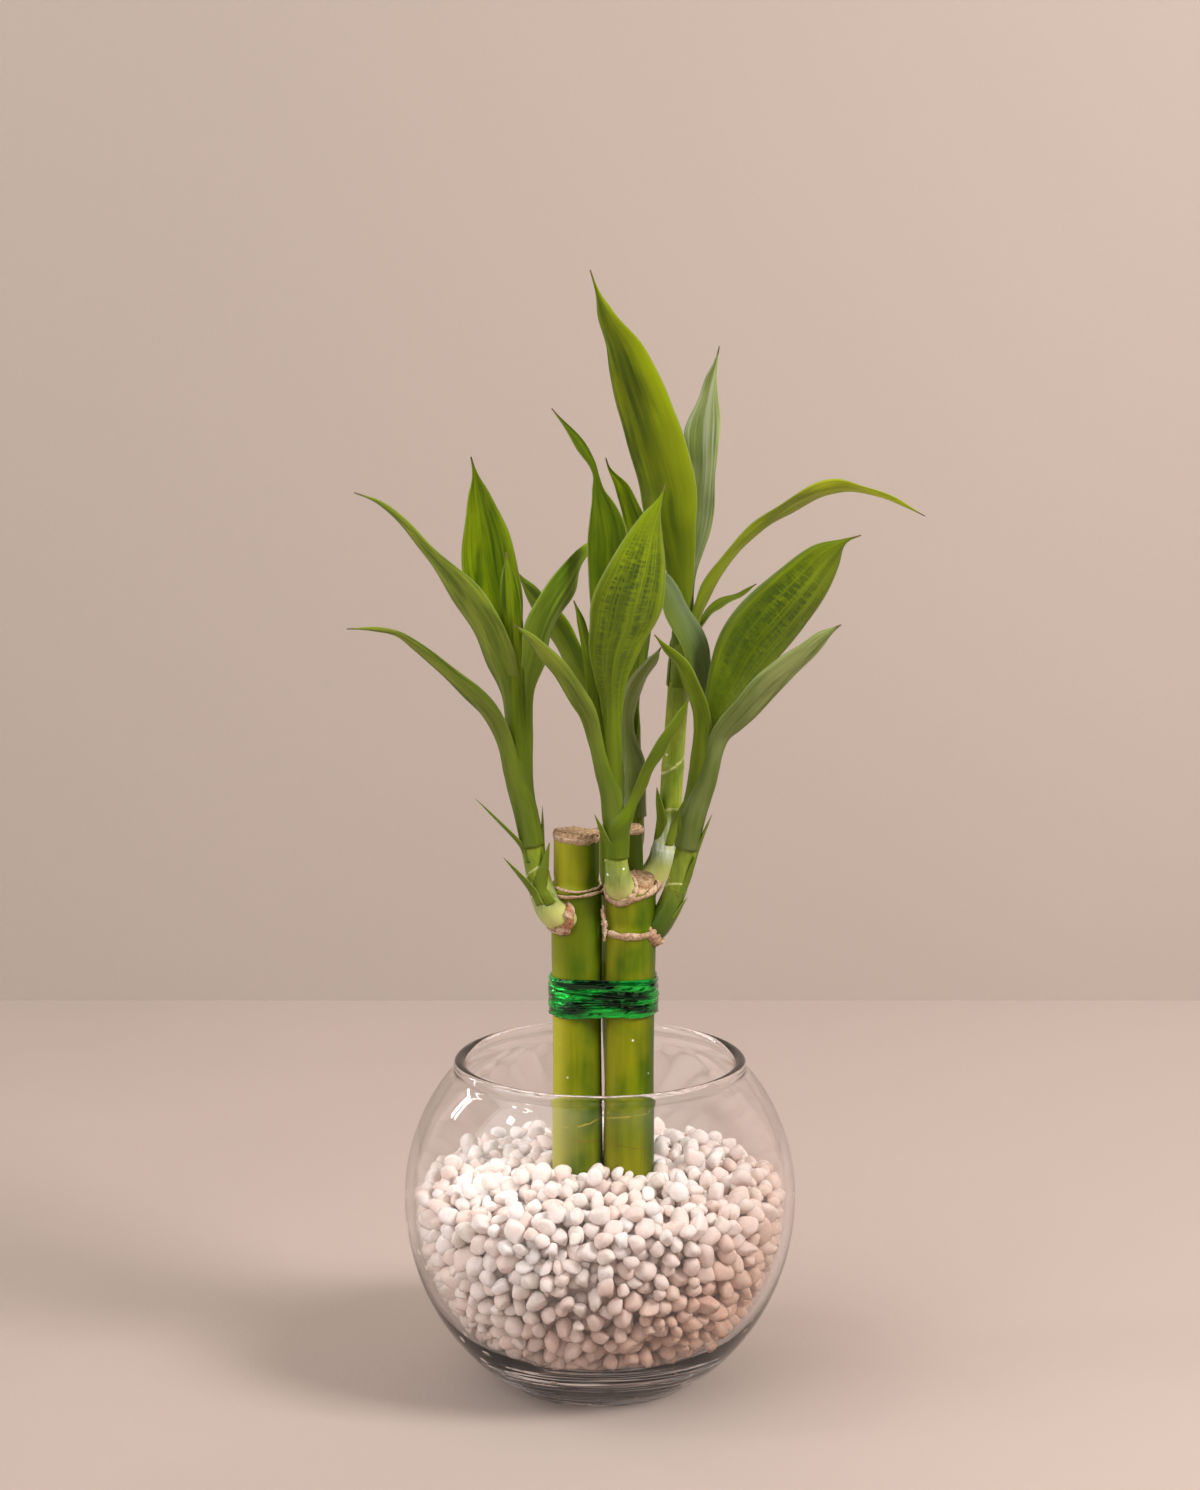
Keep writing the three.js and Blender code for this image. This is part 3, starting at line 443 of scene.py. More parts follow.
def inside_line(inset, rows):
    """The inside below the widest ring: an oval, cut softly by the flat floor."""
    turn = np.radians(np.linspace(0, 90, rows))
    down = (IN_OVAL - inset) * np.sin(turn)
    cut = (1 + (down / (IN_DEPTH - inset)) ** FLOOR_POWER) ** (-1 / FLOOR_POWER)
    return np.stack([(IN_R - inset) * np.cos(turn) * cut, BODY_Z - down * cut], -1)


def arc(middle, wide, high, angles):
    """Points of [radius, height] on an oval at some angles."""
    return np.stack([middle[0] + wide * np.cos(angles), middle[1] + high * np.sin(angles)], -1)


def bowl_profile():
    """The bowl's outline, from the middle of the foot out, up, over the rim and down again."""
    body = (0, BODY_Z)
    hollow = np.linspace(0.5, HOLLOW_R, 12)
    floor = inside_line(0, 181)[:-1]
    ripple = RIPPLE_HIGH * np.sin(floor[:, 0] * RIPPLE_TURNS)
    floor[:, 1] += ripple * (floor[:, 1] < RIPPLE_TOP)
    rim_angle = math.acos((RIM_R + BEAD_R * 0.8) / BODY_R)
    in_angle = math.acos((RIM_R - BEAD_R * 0.8) / IN_R)
    return np.vstack([
        np.stack([hollow, HOLLOW_DEEP * (1 - (hollow / HOLLOW_R) ** 2)], -1),
        [(22.0, 0.0), (22.8, 0.0), (FOOT_R - 0.2, 0.12)],
        arc(body, BODY_R, OVAL, -FOOT_ANGLE * (1 - np.linspace(0.02, 1, 40))),
        arc(body, BODY_R, BODY_R, rim_angle * np.linspace(0.03, 0.97, 24)),
        arc((RIM_R, RIM_Z), BEAD_R, BEAD_R, np.radians(np.linspace(-25, 205, 14))),
        arc(body, IN_R, IN_R, in_angle * np.linspace(0.97, 0.03, 24)),
        floor,
    ])


bowl_line = bowl_profile()
print("bowl outline:", len(bowl_line), "points")

# %% Clear glass
m = new_look("clear_glass")
# Painted reflections: dark and blue streaks low down, and a brownish tint at grazing angles, stand
# in for what the glass would reflect and bend.
low = m.ramp(m.sides["Z"], 0.020, 0.009)
painted_dark_streaks = m.streaks((45, 45, 620), 0.57, 0.61)
painted_blue_streaks = m.streaks((60, 60, 480), 0.5, 0.56)
tint_with_painted_streaks = m.over((0.97, 0.955, 0.96), (0.62, 0.80, 1.0), low, painted_blue_streaks)
tint_with_painted_streaks = m.over(tint_with_painted_streaks, (0.06, 0.025, 0.018), low, painted_dark_streaks)
edge = m.ramp(m.add("LayerWeight", Blend=0.5).outputs["Facing"], 0.78, 0.97)
tint_with_painted_streaks = m.over(tint_with_painted_streaks, (0.50, 0.35, 0.30), edge, m.calc("SUBTRACT", 1.0, low))
glass = m.principled(Base_Color=tint_with_painted_streaks, Roughness=0.0, IOR=1.5, Transmission_Weight=1.0)
through = m.add("BsdfTransparent", Color=(0.95, 0.95, 0.95)).outputs[0]
glass_look = m.surface(m.mix(m.add("LightPath").outputs["Is Shadow Ray"], glass, through))

# %% Blown glass, slightly uneven near the foot
BOWL_AROUND, DENT, SWIRL = 240, 0.0022, 0.0016
bowl_rings = turned(bowl_line, BOWL_AROUND)
around = full_turn(BOWL_AROUND)
level = bowl_rings[:, :, 2]
low_glass = np.clip((18 - level) / 12, 0, 1) * np.clip(level / 2, 0, 1)
dents = 0.5 * np.sin(9 * around + 0.7) + 0.3 * np.sin(23 * around + 2) + 0.2 * np.sin(41 * around)
swirl = np.sin(2.9 * level + 2.2 * np.sin(2 * around + 0.6) + 1.3 * np.sin(5 * around))
shrink = DENT * (1 + dents) + SWIRL * (1 + swirl)
bowl_rings[:, :, :2] *= (1 - low_glass * shrink)[:, :, None]
bowl = make_piece("glass_bowl", *skin(bowl_rings), glass_look, "glass")
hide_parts("bowl")
print("glass bowl:", len(bowl.data.polygons), "faces")

# %% [markdown]
# ## The pebbles
#
# Polished marble chips of 3 to 7 mm fill the bowl to a little above its widest ring. Only the
# outer two layers can be seen, so only those are laid, over a rough core. Balls of the
# pebbles' sizes are scattered there and pushed apart until they touch, which packs them as
# loose stones lie, and each ball then gets a chip's worn, flattened shape. A few more chips
# lie loose on top, most of them behind the canes.

# %% Bed outline and canes in it
BED_TOP, BED_CROWN, SHOULDER, SHOULDER_POWER, ROWS = 56.0, 5.0, 2.6, 9, 60
CANE_FOOT, GAP = 12.0, 0.3
BED_R, BED_OVAL, BED_DEPTH = IN_R - GAP, IN_OVAL - GAP, IN_DEPTH - GAP
# A cane's cut top loses height at the front and at the right. Its rim is rough and its end
# is dead for `stub` mm. `slim` is how much thinner it is past its last joint.
CANES = {
    "cane_front_left": dict(
        top=(-6.1, -6.5, 148.2), foot=(-5.7, -6.5), radius=6.35, joints=[133.4], slim=0.5,
        sunny=1.0, front=0.0, right=0.2, rim=1.0, stub=0.6,
    ),
    "cane_front_right": dict(
        top=(7.9, -6.5, 137.0), foot=(7.1, -6.5), radius=6.4, joints=[122.8, 132.6], slim=0.2,
        sunny=0.9, front=0.9, right=0.4, rim=1.0, stub=3.0,
    ),
    "cane_back": dict(
        top=(5.2, 6.5, 146.5), foot=(9.2, 6.6), radius=6.1, joints=[130.5], slim=0.3,
        sunny=0.4, front=0.2, right=-0.2, rim=0.8, stub=0.5,
    ),
}


def cane_middle(cane, height):
    """The middle of a cane at one or more heights, as x and y."""
    along = (np.asarray(height, float) - CANE_FOOT) / (cane["top"][2] - CANE_FOOT)
    return [cane["foot"][i] + (cane["top"][i] - cane["foot"][i]) * along for i in (0, 1)]


def bed_top(radius):
    """The height of the bed's domed top at a distance from the middle."""
    share = radius / BED_R
    return BED_TOP + BED_CROWN * (1 - share**2) - SHOULDER * share**SHOULDER_POWER


def bed_outline():
    """Radius and height from the floor's middle along the glass and in over the top."""
    glass = inside_line(GAP, ROWS + 1)[::-1]
    inward = BED_R * (1 - np.arange(1, ROWS + 1) / ROWS)
    return np.vstack([glass, np.stack([inward, bed_top(inward)], -1)])


def top_depth(points):
    """How far points lie under the bed's top."""
    return bed_top(np.hypot(points[:, 0], points[:, 1])) - points[:, 2]


def glass_depth(points):
    """How far points lie inside the glass, and the way out to it. Below 0 is outside."""
    radius = np.maximum(np.hypot(points[:, 0], points[:, 1]), 1e-6)
    rise = points[:, 2] - BODY_Z
    oval = np.where(rise > 0, BED_R, BED_OVAL)
    share = np.maximum(np.hypot(radius / BED_R, rise / oval), 1e-6)
    floor = np.maximum(-rise, 0) / BED_DEPTH
    value = (share**FLOOR_POWER + floor**FLOOR_POWER) ** (1 / FLOOR_POWER)
    pull, press = ((part / value) ** (FLOOR_POWER - 1) for part in (share, floor))
    slope_r = pull * radius / BED_R**2 / share
    slope_z = pull * rise / oval**2 / share - press / BED_DEPTH
    steep = np.maximum(np.hypot(slope_r, slope_z), 1e-3)
    out = np.stack([slope_r * points[:, 0] / radius, slope_r * points[:, 1] / radius, slope_z], -1)
    return (1 - value) / steep, out / steep[:, None]


print("bed: crown at", BED_TOP + BED_CROWN)

# %% Large pebbles on the bed's skin
LARGE, SCATTER, SUNK, UNEVEN, SEED = 580, 1.2, 0.2, 1.0, 20
GOLDEN_TURN = math.pi * (3 - math.sqrt(5))


def seeded(seed):
    """Numbers from 0 to 1, the same in every run."""
    state = seed
    while True:
        state = (state * 1664525 + 1013904223) % 4294967296
        yield state / 4294967296


def large_spots():
    """Places spread evenly over the bed's skin, the way out of the bed there, and how deep."""
    line = bed_outline()
    step = np.diff(line, axis=0)
    length = np.hypot(*step.T)
    run = np.concatenate([[0], np.cumsum(length)])
    area = np.concatenate([[0], np.cumsum(length * (line[:-1, 0] + line[1:, 0]) / 2)])
    ways = np.stack([step[:, 1], -step[:, 0]], -1) / length[:, None]
    draw = seeded(SEED)
    rows = []
    for i in range(LARGE):
        along = np.interp(area[-1] * (i + 0.5) / LARGE, area, run) + SCATTER * (2 * next(draw) - 1)
        radius, height = (np.interp(along, run, line[:, k]) for k in (0, 1))
        turn = i * GOLDEN_TURN + SCATTER * (2 * next(draw) - 1) / max(radius, SCATTER)
        out = ways[min(int(np.searchsorted(run, along)), len(ways)) - 1]
        around = np.array((math.cos(turn), math.sin(turn)))
        deep = SUNK + UNEVEN * next(draw)
        rows.append([*(radius * around), height, *(out[0] * around), out[1], deep])
    rows = np.array(rows)
    return rows[:, :3], rows[:, 3:6], rows[:, 6]


spots, ways_out, depths = large_spots()
print("large pebbles on the skin:", len(spots))

# %% Settle the other pebbles between them
SMALL, LAYERS_DEEP, ROUNDS = 1900, 8.0, 60
TOUCH, EASE, HELD = 0.95, 0.3, 0.15  # share of two radii, step towards it, and for large ones
BY_GLASS, BY_CANE, BY_TOP = 0.98, 0.85, 0.8  # how near a ball comes to these, in radii


def settled_balls():
    """Middles and radii: large ones stay on the skin, small ones are pushed apart under it."""
    rng = np.random.default_rng(7)
    large_radii = np.clip(rng.normal(2.4, 0.4, LARGE), 1.7, 3.2)
    large = spots - ways_out * (depths + BY_GLASS * large_radii)[:, None]
    radii = np.concatenate([large_radii, np.clip(rng.normal(2.0, 0.35, SMALL), 1.3, 2.8)])
    points = np.empty((0, 3))
    while len(points) < SMALL:
        spot = rng.uniform((-50, -50, FLOOR_Z), (50, 50, 62), (20000, 3))
        deep, _ = glass_depth(spot)
        under = top_depth(spot)
        keep = (deep > 2) & (under > 2) & (np.minimum(deep, under) < LAYERS_DEEP)
        points = np.vstack([points, spot[keep]])
    points = np.vstack([large, points[:SMALL]])
    free = (np.arange(len(points)) >= LARGE)[:, None]
    touch = TOUCH * (radii[:, None] + radii[None, :])
    for _ in range(ROUNDS):
        square = (points**2).sum(1)
        apart = np.sqrt(np.maximum(square[:, None] + square[None, :] - 2 * points @ points.T, 1e-9))
        np.fill_diagonal(apart, 1e3)
        pair = np.nonzero(apart < touch)
        push = (touch[pair] - apart[pair]) * EASE / apart[pair]
        moves = np.zeros_like(points)
        np.add.at(moves, pair[0], (points[pair[0]] - points[pair[1]]) * push[:, None])
        points += moves * np.where(free, 1.0, HELD)
        for cane in CANES.values():
            from_cane = points[:, :2] - np.stack(cane_middle(cane, points[:, 2]), -1)
            gap = np.hypot(*from_cane.T)
            need = np.maximum(cane["radius"] + BY_CANE * radii - gap, 0) / np.maximum(gap, 1e-6)
            points[:, :2] += from_cane * need[:, None]
        under = top_depth(points)
        points[:, 2] -= np.maximum(BY_TOP * radii - under, 0)
        deep, out = glass_depth(points)
        points -= out * np.maximum(BY_GLASS * radii - deep, 0)[:, None]
        sunk = np.minimum(deep, under) - LAYERS_DEEP - 1
        points += out * (np.maximum(sunk, 0)[:, None] * 0.5 * free)
    return points, radii


balls, ball_radii = settled_balls()
lowest, highest = balls[:, 2].min().round(1), balls[:, 2].max().round(1)
print("pebbles settled:", len(balls), "from", lowest, "to", highest, "mm")

# %% Worn chips of marble
SHAPES, CHIP_DETAIL, CHIP_FACETS, FACET_DEEP, WAVY = 30, 3, 7, 0.7, 0.14
CHIP_LEAST, CHIP_MOST, CHIP_GROWN = (1.0, 0.82, 0.64), (1.42, 1.04, 0.9), 1.1
LOOSE, LOOSE_REACH, LOOSE_RADII, LOOSE_APART = 70, (14, 43.5), (1.9, 2.7), 3.6


def some_way(rng):
    """A random direction."""
    way = rng.normal(size=3)
    return way / np.linalg.norm(way)


def chip_shapes(rng):
    """Rounded chips on a ball of triangles: stretched, flattened by planes and made wavy."""
    ball = bmesh.new()
    bmesh.ops.create_icosphere(ball, subdivisions=CHIP_DETAIL, radius=1)
    ball.verts.ensure_lookup_table()
    sphere = np.array([v.co[:] for v in ball.verts])
    faces = np.array([[v.index for v in f.verts] for f in ball.faces])
    ball.free()
    shapes = []
    for _ in range(SHAPES):
        points = sphere * rng.uniform(CHIP_LEAST, CHIP_MOST)
        for _ in range(CHIP_FACETS):
            way = some_way(rng)
            over = points @ way - rng.uniform(0.55, 0.8)
            points = points - np.maximum(over, 0)[:, None] * way * FACET_DEEP
        swell = 2.2 * (points @ some_way(rng))
        shapes.append(points * (1 + WAVY * np.sin(swell + rng.uniform(0, 6)))[:, None])
    return np.array(shapes), faces


def turns_of(count, rng):
    """Random rotations as matrices, from random quaternions."""
    q = rng.normal(size=(count, 4))
    w, x, y, z = (q / np.linalg.norm(q, axis=1, keepdims=True)).T
    return np.stack([
        1 - 2 * (y * y + z * z), 2 * (x * y - z * w), 2 * (x * z + y * w),
        2 * (x * y + z * w), 1 - 2 * (x * x + z * z), 2 * (y * z - x * w),
        2 * (x * z - y * w), 2 * (y * z + x * w), 1 - 2 * (x * x + y * y),
    ], -1).reshape(-1, 3, 3)


def laid_chips(middles, radii, rng):
    """All chips as one mesh, with two random numbers for each chip's colour."""
    shapes, faces = chip_shapes(rng)
    count, wide = len(middles), shapes.shape[1]
    pick = rng.integers(0, len(shapes), count)
    points = np.einsum("nij,nvj->nvi", turns_of(count, rng), shapes[pick])
    points = points * (CHIP_GROWN * radii)[:, None, None] + middles[:, None, :]
    all_faces = (faces[None] + (np.arange(count) * wide)[:, None, None]).reshape(-1, 3)
    tone, blush = (np.repeat(rng.random(count), wide) for _ in (0, 1))
    return points.reshape(-1, 3), all_faces, tone, blush


def loose_chips(rng):
    """Middles and radii of a few chips that lie loose on top, most of them at the back."""
    kept, sizes = [], []
    while len(kept) < LOOSE:
        turn = math.radians(rng.uniform(0, 360))
        reach, size = rng.uniform(*LOOSE_REACH), rng.uniform(*LOOSE_RADII)
        x, y = reach * math.cos(turn), reach * math.sin(turn)
        spot = np.array((x, y, bed_top(reach) + rng.uniform(0.2, 1.3)))
        gaps = [math.dist((x, y), cane_middle(c, 60)) - c["radius"] for c in CANES.values()]
        alone = all(math.dist(spot, other) > LOOSE_APART for other in kept)
        if min(gaps) > size and alone and (y > 8 or rng.random() < 0.3):
            kept.append(spot)
            sizes.append(size)
    return np.array(kept), np.array(sizes)


rng = np.random.default_rng(11)
loose, loose_radii = loose_chips(rng)
middles, radii = np.vstack([balls, loose]), np.concatenate([ball_radii, loose_radii])
chip_points, chip_faces, tone, blush = laid_chips(middles, radii, rng)
print("chips:", len(chip_faces), "faces")

# %% [markdown]
# ## Marble
#
# The chips are white marble with a blush of pink, peach and cream, a soft polish and a faint
# grain. Each chip carries two random numbers, so no two neighbours look alike. Low down and
# towards the right the stones are painted warmer and darker, as painted shade.

# %% Marble material
m = new_look("white_marble")
# Painted shade: lower and further right, the stones are painted warmer and darker.
height = m.calc("MULTIPLY_ADD", m.sides["X"], -0.5, m.sides["Z"])
stone = m.blend(m.tag("tone"), (0.90, 0.78, 0.73), (0.98, 0.915, 0.885))
for mask, colour in (
    (m.ramp(m.tag("blush"), 0.45, 0.9), (0.90, 0.73, 0.66)),
    (m.ramp(m.tag("blush"), 0.22, 0.05), (0.88, 0.79, 0.72)),
    (m.ramp(height, 0.056, 0.000), (0.60, 0.33, 0.21)),
    (m.times(m.streaks((500, 500, 500), 0.45, 0.75), 0.35), (0.74, 0.64, 0.58)),
):
    stone = m.over(stone, colour, mask)
grain = m.noise(1400.0, 3.0)
marble = m.principled(
    Base_Color=stone, Roughness=m.ramp(grain, 0.0, 1.6), Normal=m.bump(0.25, 0.0002, grain),
    Subsurface_Weight=0.35, Subsurface_Radius=(1.0, 0.75, 0.6), Subsurface_Scale=0.002,
)
marble_look = m.surface(marble)
print("finish:", marble_look.name)

# %% Pebble bed
CORE_IN, CORE_TONE = 7.5, 0.3


def bed_core():
    """A rough body inside the laid chips, so that no one looks into an empty bed."""
    profile = inside_line(CORE_IN, 16)[:0:-1].tolist()
    profile += [(36.0, BED_TOP - 6.5), (18.0, BED_TOP - 4.5), (0.5, BED_TOP - 4)]
    return skin(turned(profile, 48))


core_points, core_faces = bed_core()
bed = make_piece(
    "marble_pebbles",
    np.vstack([chip_points, core_points]),
    np.vstack([chip_faces, core_faces + len(chip_points)]),
    marble_look,
    "pebbles",
    tone=np.append(tone, np.full(len(core_points), CORE_TONE)),
    blush=np.append(blush, np.full(len(core_points), CORE_TONE)),
)
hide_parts("pebbles")
print("pebble bed:", len(bed.data.polygons), "faces")

# %% [markdown]
# ## The canes
#
# Each cane is a piece of stem, cut above and below, with a ring where a leaf once grew. Its
# skin is waxy and olive green, with fine upright streaks, tiny pale pores and thin scars, and
# one side is painted yellower and the other darker, as painted light and shade. The cut top
# shows dry tan wood, with a ragged rim of dead skin. The skin is a stack of rings close enough
# to carve the joints and the slightly uneven outline, which a plain cylinder would lack.

# %% Cane skin
m = new_look("green_cane")
broad = m.streaks((170, 170, 28), 0.4, 0.62)
fine = m.streaks((1500, 1500, 60), 0.3, 0.75)
green = m.blend(broad, (0.060, 0.115, 0.003), (0.18, 0.23, 0.004))
green = m.over(green, (0.34, 0.31, 0.008), m.streaks((70, 70, 55), 0.42, 0.6), 0.6)
green = m.over(green, (0.05, 0.09, 0.002), fine, 0.3)
green = m.over(green, (0.75, 0.72, 0.5), m.mask("specks", Scale=480.0, Size=0.15, Share=0.05))
for level, lean, width, colour in (
    (0.0722, 0.18, 0.00022, (0.42, 0.33, 0.03)),
    (0.0665, -0.15, 0.00013, (0.24, 0.12, 0.02)),
):
    scar = m.mask("scar_line", Height=level, Lean=lean, Width=width)
    green = m.over(green, colour, scar, m.streaks((160, 160, 90), 0.43, 0.45))
# Painted light and shade: each cane's lit side is painted yellower and its far side darker.
sunny, rise = m.tag("sunny"), m.sides["Z"]
green = m.over(green, (0.42, 0.40, 0.03), m.ramp(sunny, 0.75, 1.0))
green = m.over(green, (0.04, 0.07, 0.003), m.ramp(sunny, 0.5, 0.0))
# Painted shade darkens the left cane between the tie and its joint, and a painted golden highlight
# lies on the lit side of all canes above it.
shaded = m.times(m.ramp(rise, 0.100, 0.118), m.ramp(rise, 0.1345, 0.1325))
shaded = m.times(shaded, m.ramp(m.sides["X"], 0.006, -0.001))
green = m.over(green, (0.05, 0.10, 0.003), shaded, 0.65)
golden = m.times(m.ramp(rise, 0.1325, 0.1345), m.ramp(sunny, 0.3, 0.8))
green = m.over(green, (0.36, 0.34, 0.02), golden, 0.4)
dead = m.ramp(m.tag("dead"), 0.35, 0.65)
fibres = m.noise(900.0, 6.0, Roughness=0.7)
tan = m.blend(m.ramp(fibres, 0.35, 0.65), (0.30, 0.16, 0.075), (0.66, 0.45, 0.28))
relief = m.calc("MULTIPLY_ADD", fibres, dead, m.times(fine, 0.12))
cane_skin = m.principled(
    Base_Color=m.blend(dead, green, tan), Roughness=m.ramp(dead, -0.6, 1.3, smooth=False),
    Specular_IOR_Level=0.12, Normal=m.bump(0.5, 0.0004, relief),
)
green_cane = m.surface(cane_skin)
print("finish:", green_cane.name)

# %% Cane shapes
AROUND, PAINTED_LIGHT_BEARING, CUT_LONG, FINE_LONG = 96, 200, 9, 4
JOINT_HIGH, JOINT_WIDE, GROOVE_DEEP, GROOVE_UP, GROOVE_WIDE = 0.42, 0.9, 0.22, 1.9, 1.1
bearing = full_turn(AROUND)


def cane_radius(cane, height):
    """Radius at heights: a fat lower part, a ring at each joint, slimmer past the last."""
    base = cane["radius"] + 0.12 * np.sin(height / 9.0 + cane["foot"][0])
    base = base - cane["slim"] * np.clip((height - cane["joints"][-1]) / 1.5, 0, 1)
    for joint in cane["joints"]:
        ring = (height - joint) / JOINT_WIDE
        groove = (height - joint - GROOVE_UP) / GROOVE_WIDE
        base = base + JOINT_HIGH * np.exp(-(ring**2)) - GROOVE_DEEP * np.exp(-(groove**2))
    return base


def cane_ring(cane, level, radius, angle):
    return circle(*cane_middle(cane, level), radius, angle, level)


def cane_rings(cane, rng):
    """A cane's rings from its foot over the cut, and where they are dead and dry."""
    top = cane["top"][2]
    fine = np.linspace(top - FINE_LONG, top, 22)
    heights = np.concatenate([np.arange(CANE_FOOT, fine[0], 0.9), fine])
    unround = 1 + 0.012 * wave(bearing, rng, 3)
    rim = 0.35 * cane["rim"] * wave(bearing, rng, 9, 0.5)
    drop = cane["front"] * (1 - np.sin(bearing)) + cane["right"] * (1 + np.cos(bearing)) / 2
    ragged = 0.5 + 0.5 * wave(bearing, rng, 12, 0.4)
    rings, dead = [], []
    for height in heights:
        share = np.clip((height - (top - CUT_LONG)) / CUT_LONG, 0, 1)
        level = height - (drop - rim) * share
        rings.append(cane_ring(cane, level, cane_radius(cane, level) * unround, bearing))
        dead.append(((top - level) < cane["stub"] + 1.1 * ragged).astype(float))
    outer = rings[-1]
    middle = np.array([*cane_middle(cane, top), outer[:, 2].mean()])
    for share in (0.97, 0.9, 0.8, 0.66, 0.5, 0.34, 0.18, 0.06):
        ring = middle + (outer - middle) * share
        ring[:, 2] += 0.25 * rng.normal(size=AROUND) * share - 0.45 * (1 - share) * (share < 0.95)
        rings.append(ring)
        dead.append(np.ones(AROUND))
    return np.array(rings), np.array(dead)


for number, (name, cane) in enumerate(CANES.items()):
    rings, dead = cane_rings(cane, np.random.default_rng(30 + number))
    # The painted lit side: strongest towards the bearing the light comes from, scaled for each
    # cane.
    sunny = (1 + np.cos(bearing - math.radians(PAINTED_LIGHT_BEARING))) / 2 * cane["sunny"]
    tags = dict(dead=for_ends(dead), sunny=for_ends(np.tile(sunny, (len(rings), 1))))
    piece = make_piece("green_" + name, *skin(rings), green_cane, "cane", **tags)
    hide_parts(name)
print("canes:", list(CANES))

# %% [markdown]
# ## Dry skin at the joints
#
# Where a leaf was torn off, a thin papery collar stays round the joint: tan, cracked and
# ragged, a little proud of the stem. Each collar is a thin band with a torn upper and lower
# edge. The shoots break out through such a collar, so four of the five have one at their root as
# well.

# %% Papery skin
m = new_look("papery_skin")
crackle, stain = m.noise(1300.0, 5.0, Roughness=0.65), m.noise(240.0, 3.0)
pale = m.blend(m.ramp(crackle, 0.3, 0.7), (0.40, 0.24, 0.13), (0.80, 0.62, 0.44))
rust = m.blend(m.ramp(crackle, 0.35, 0.6), (0.10, 0.030, 0.010), (0.36, 0.13, 0.045))
shade = m.over(pale, rust, m.tag("rust"), m.ramp(stain, 0.36, 0.55))
cracked = m.bump(0.8, 0.0004, crackle)
paper_skin = m.surface(m.principled(Base_Color=shade, Roughness=0.75, Normal=cracked))


def dry_piece(name, rings, rust, looped=True):
    """A piece of dry skin. `rust` is how reddish it is."""
    points, faces = skin(rings, looped)
    tags = dict(rust=np.full(len(points), rust))
    return make_piece(name, points, faces, paper_skin, "cane", **tags)


# %% Collars on the canes
def collar(name, cane, height, low, high, proud, lean, flare, rust, seed):
    """A band of dry skin between two ragged edges, `proud` mm off the cane."""
    rng = np.random.default_rng(seed)
    angle = full_turn(180)
    middle = height + lean[0] * np.cos(angle) + lean[1] * np.sin(angle) + 0.22 * wave(angle, rng, 6)
    under = middle - low * (0.75 + 0.5 * rng.random() + 0.35 * wave(angle, rng, 14, 0.4))
    over = middle + high * (0.8 + 0.45 * wave(angle, rng, 14, 0.4))
    out = proud * (1 + 0.4 * wave(angle, rng, 12, 0.5))
    rows = []
    for level, part, more in (
        (under, -0.2, 0), (under, 0.5, 0), (middle, 1, 0),
        (over, 0.8, flare), (over, 0.2, flare), (middle, -0.2, 0),
    ):
        rows.append(cane_ring(cane, level, cane_radius(cane, level) + out * part + more, angle))
    return dry_piece(name, np.array(rows).transpose(1, 0, 2), rust)


left, right, back = CANES.values()
COLLARS = (  # height, reach below and above, how proud, lean to x and y, flare, rust
    ("collar_left_upper", left, 134.5, 0.3, 0.35, 0.6, (0.1, 0.5), 0.1, 0.0),
    ("collar_left_lower", left, 132.8, 0.5, 0.7, 0.9, (0.45, 0.25), 0.2, 0.4),
    ("collar_left_top", left, 147.2, 1.1, 0.5, 0.28, (-0.5, 0.3), 0.0, 0.3),
    ("collar_right_lower", right, 122.5, 0.95, 1.05, 0.8, (-0.2, 0.25), 0.25, 0.3),
    ("collar_right_upper", right, 132.7, 0.8, 1.0, 0.7, (1.0, 1.0), 0.2, 0.4),
    ("collar_back", back, 130.6, 0.4, 0.5, 0.55, (0, 0), 0.1, 0.0),
    ("collar_back_top", back, 145.9, 0.7, 0.5, 0.3, (0, 0), 0.0, 0.4),
)
for seed, row in enumerate(COLLARS, 1):
    collar(*row, seed)


def paper_strip(place, long, wide, seed, rows=26):
    """A thin torn strip of dry skin that hangs along a cane."""
    rng = np.random.default_rng(seed)
    share = np.linspace(0, 1, rows)
    half = wide / 2 * (0.35 + 0.65 * np.sin(math.pi * share**0.7))
    half = half * (1 + 0.25 * rng.normal(size=rows))
    bend = 0.25 * np.sin(5 * share + rng.uniform(0, 6))
    edges = []
    for x, y in ((-1, 0), (0, -0.18), (1, 0), (0, 0.18)):
        edges.append(np.stack([bend + half * x, y - 0.3 * share, -long * share], -1) + place)
    dry_piece("papery_strip", np.array(edges).transpose(1, 0, 2), 0.2, looped=False)


paper_strip((1.0, -11.6, 130.0), 9.5, 1.3, 9)
print("collars made:", len(COLLARS))

# %% [markdown]
# ## The foil tie
#
# A green foil ribbon is wound tightly round the three canes several times. Foil doesn't bend
# softly: it creases into flat facets that flash or go dark. So each turn is a thin band with
# few points, pushed in and out at random and shaded flat, and the turns cross each other at
# slightly different slopes, with narrow twisted strands between the wide ones.

# %% Green foil
m = new_look("green_foil")
crinkle = m.add("TexVoronoi", Vector=m.place, Scale=650.0).outputs["Distance"]
# Painted highlights: bright streaks in the foil's colour are painted glints, and the dark ones are
# painted shade between them.
painted_glints = m.streaks((110, 110, 650), 0.43, 0.66)
foil = m.principled(
    Base_Color=m.blend(painted_glints, (0.0, 0.035, 0.006), (0.004, 0.70, 0.065)), Metallic=0.95,
    Roughness=m.ramp(painted_glints, -0.6, 6.0, smooth=False), Coat_Weight=0.6, Coat_Roughness=0.08,
    Normal=m.bump(0.25, 0.0005, crinkle),
)
green_foil = m.surface(foil)

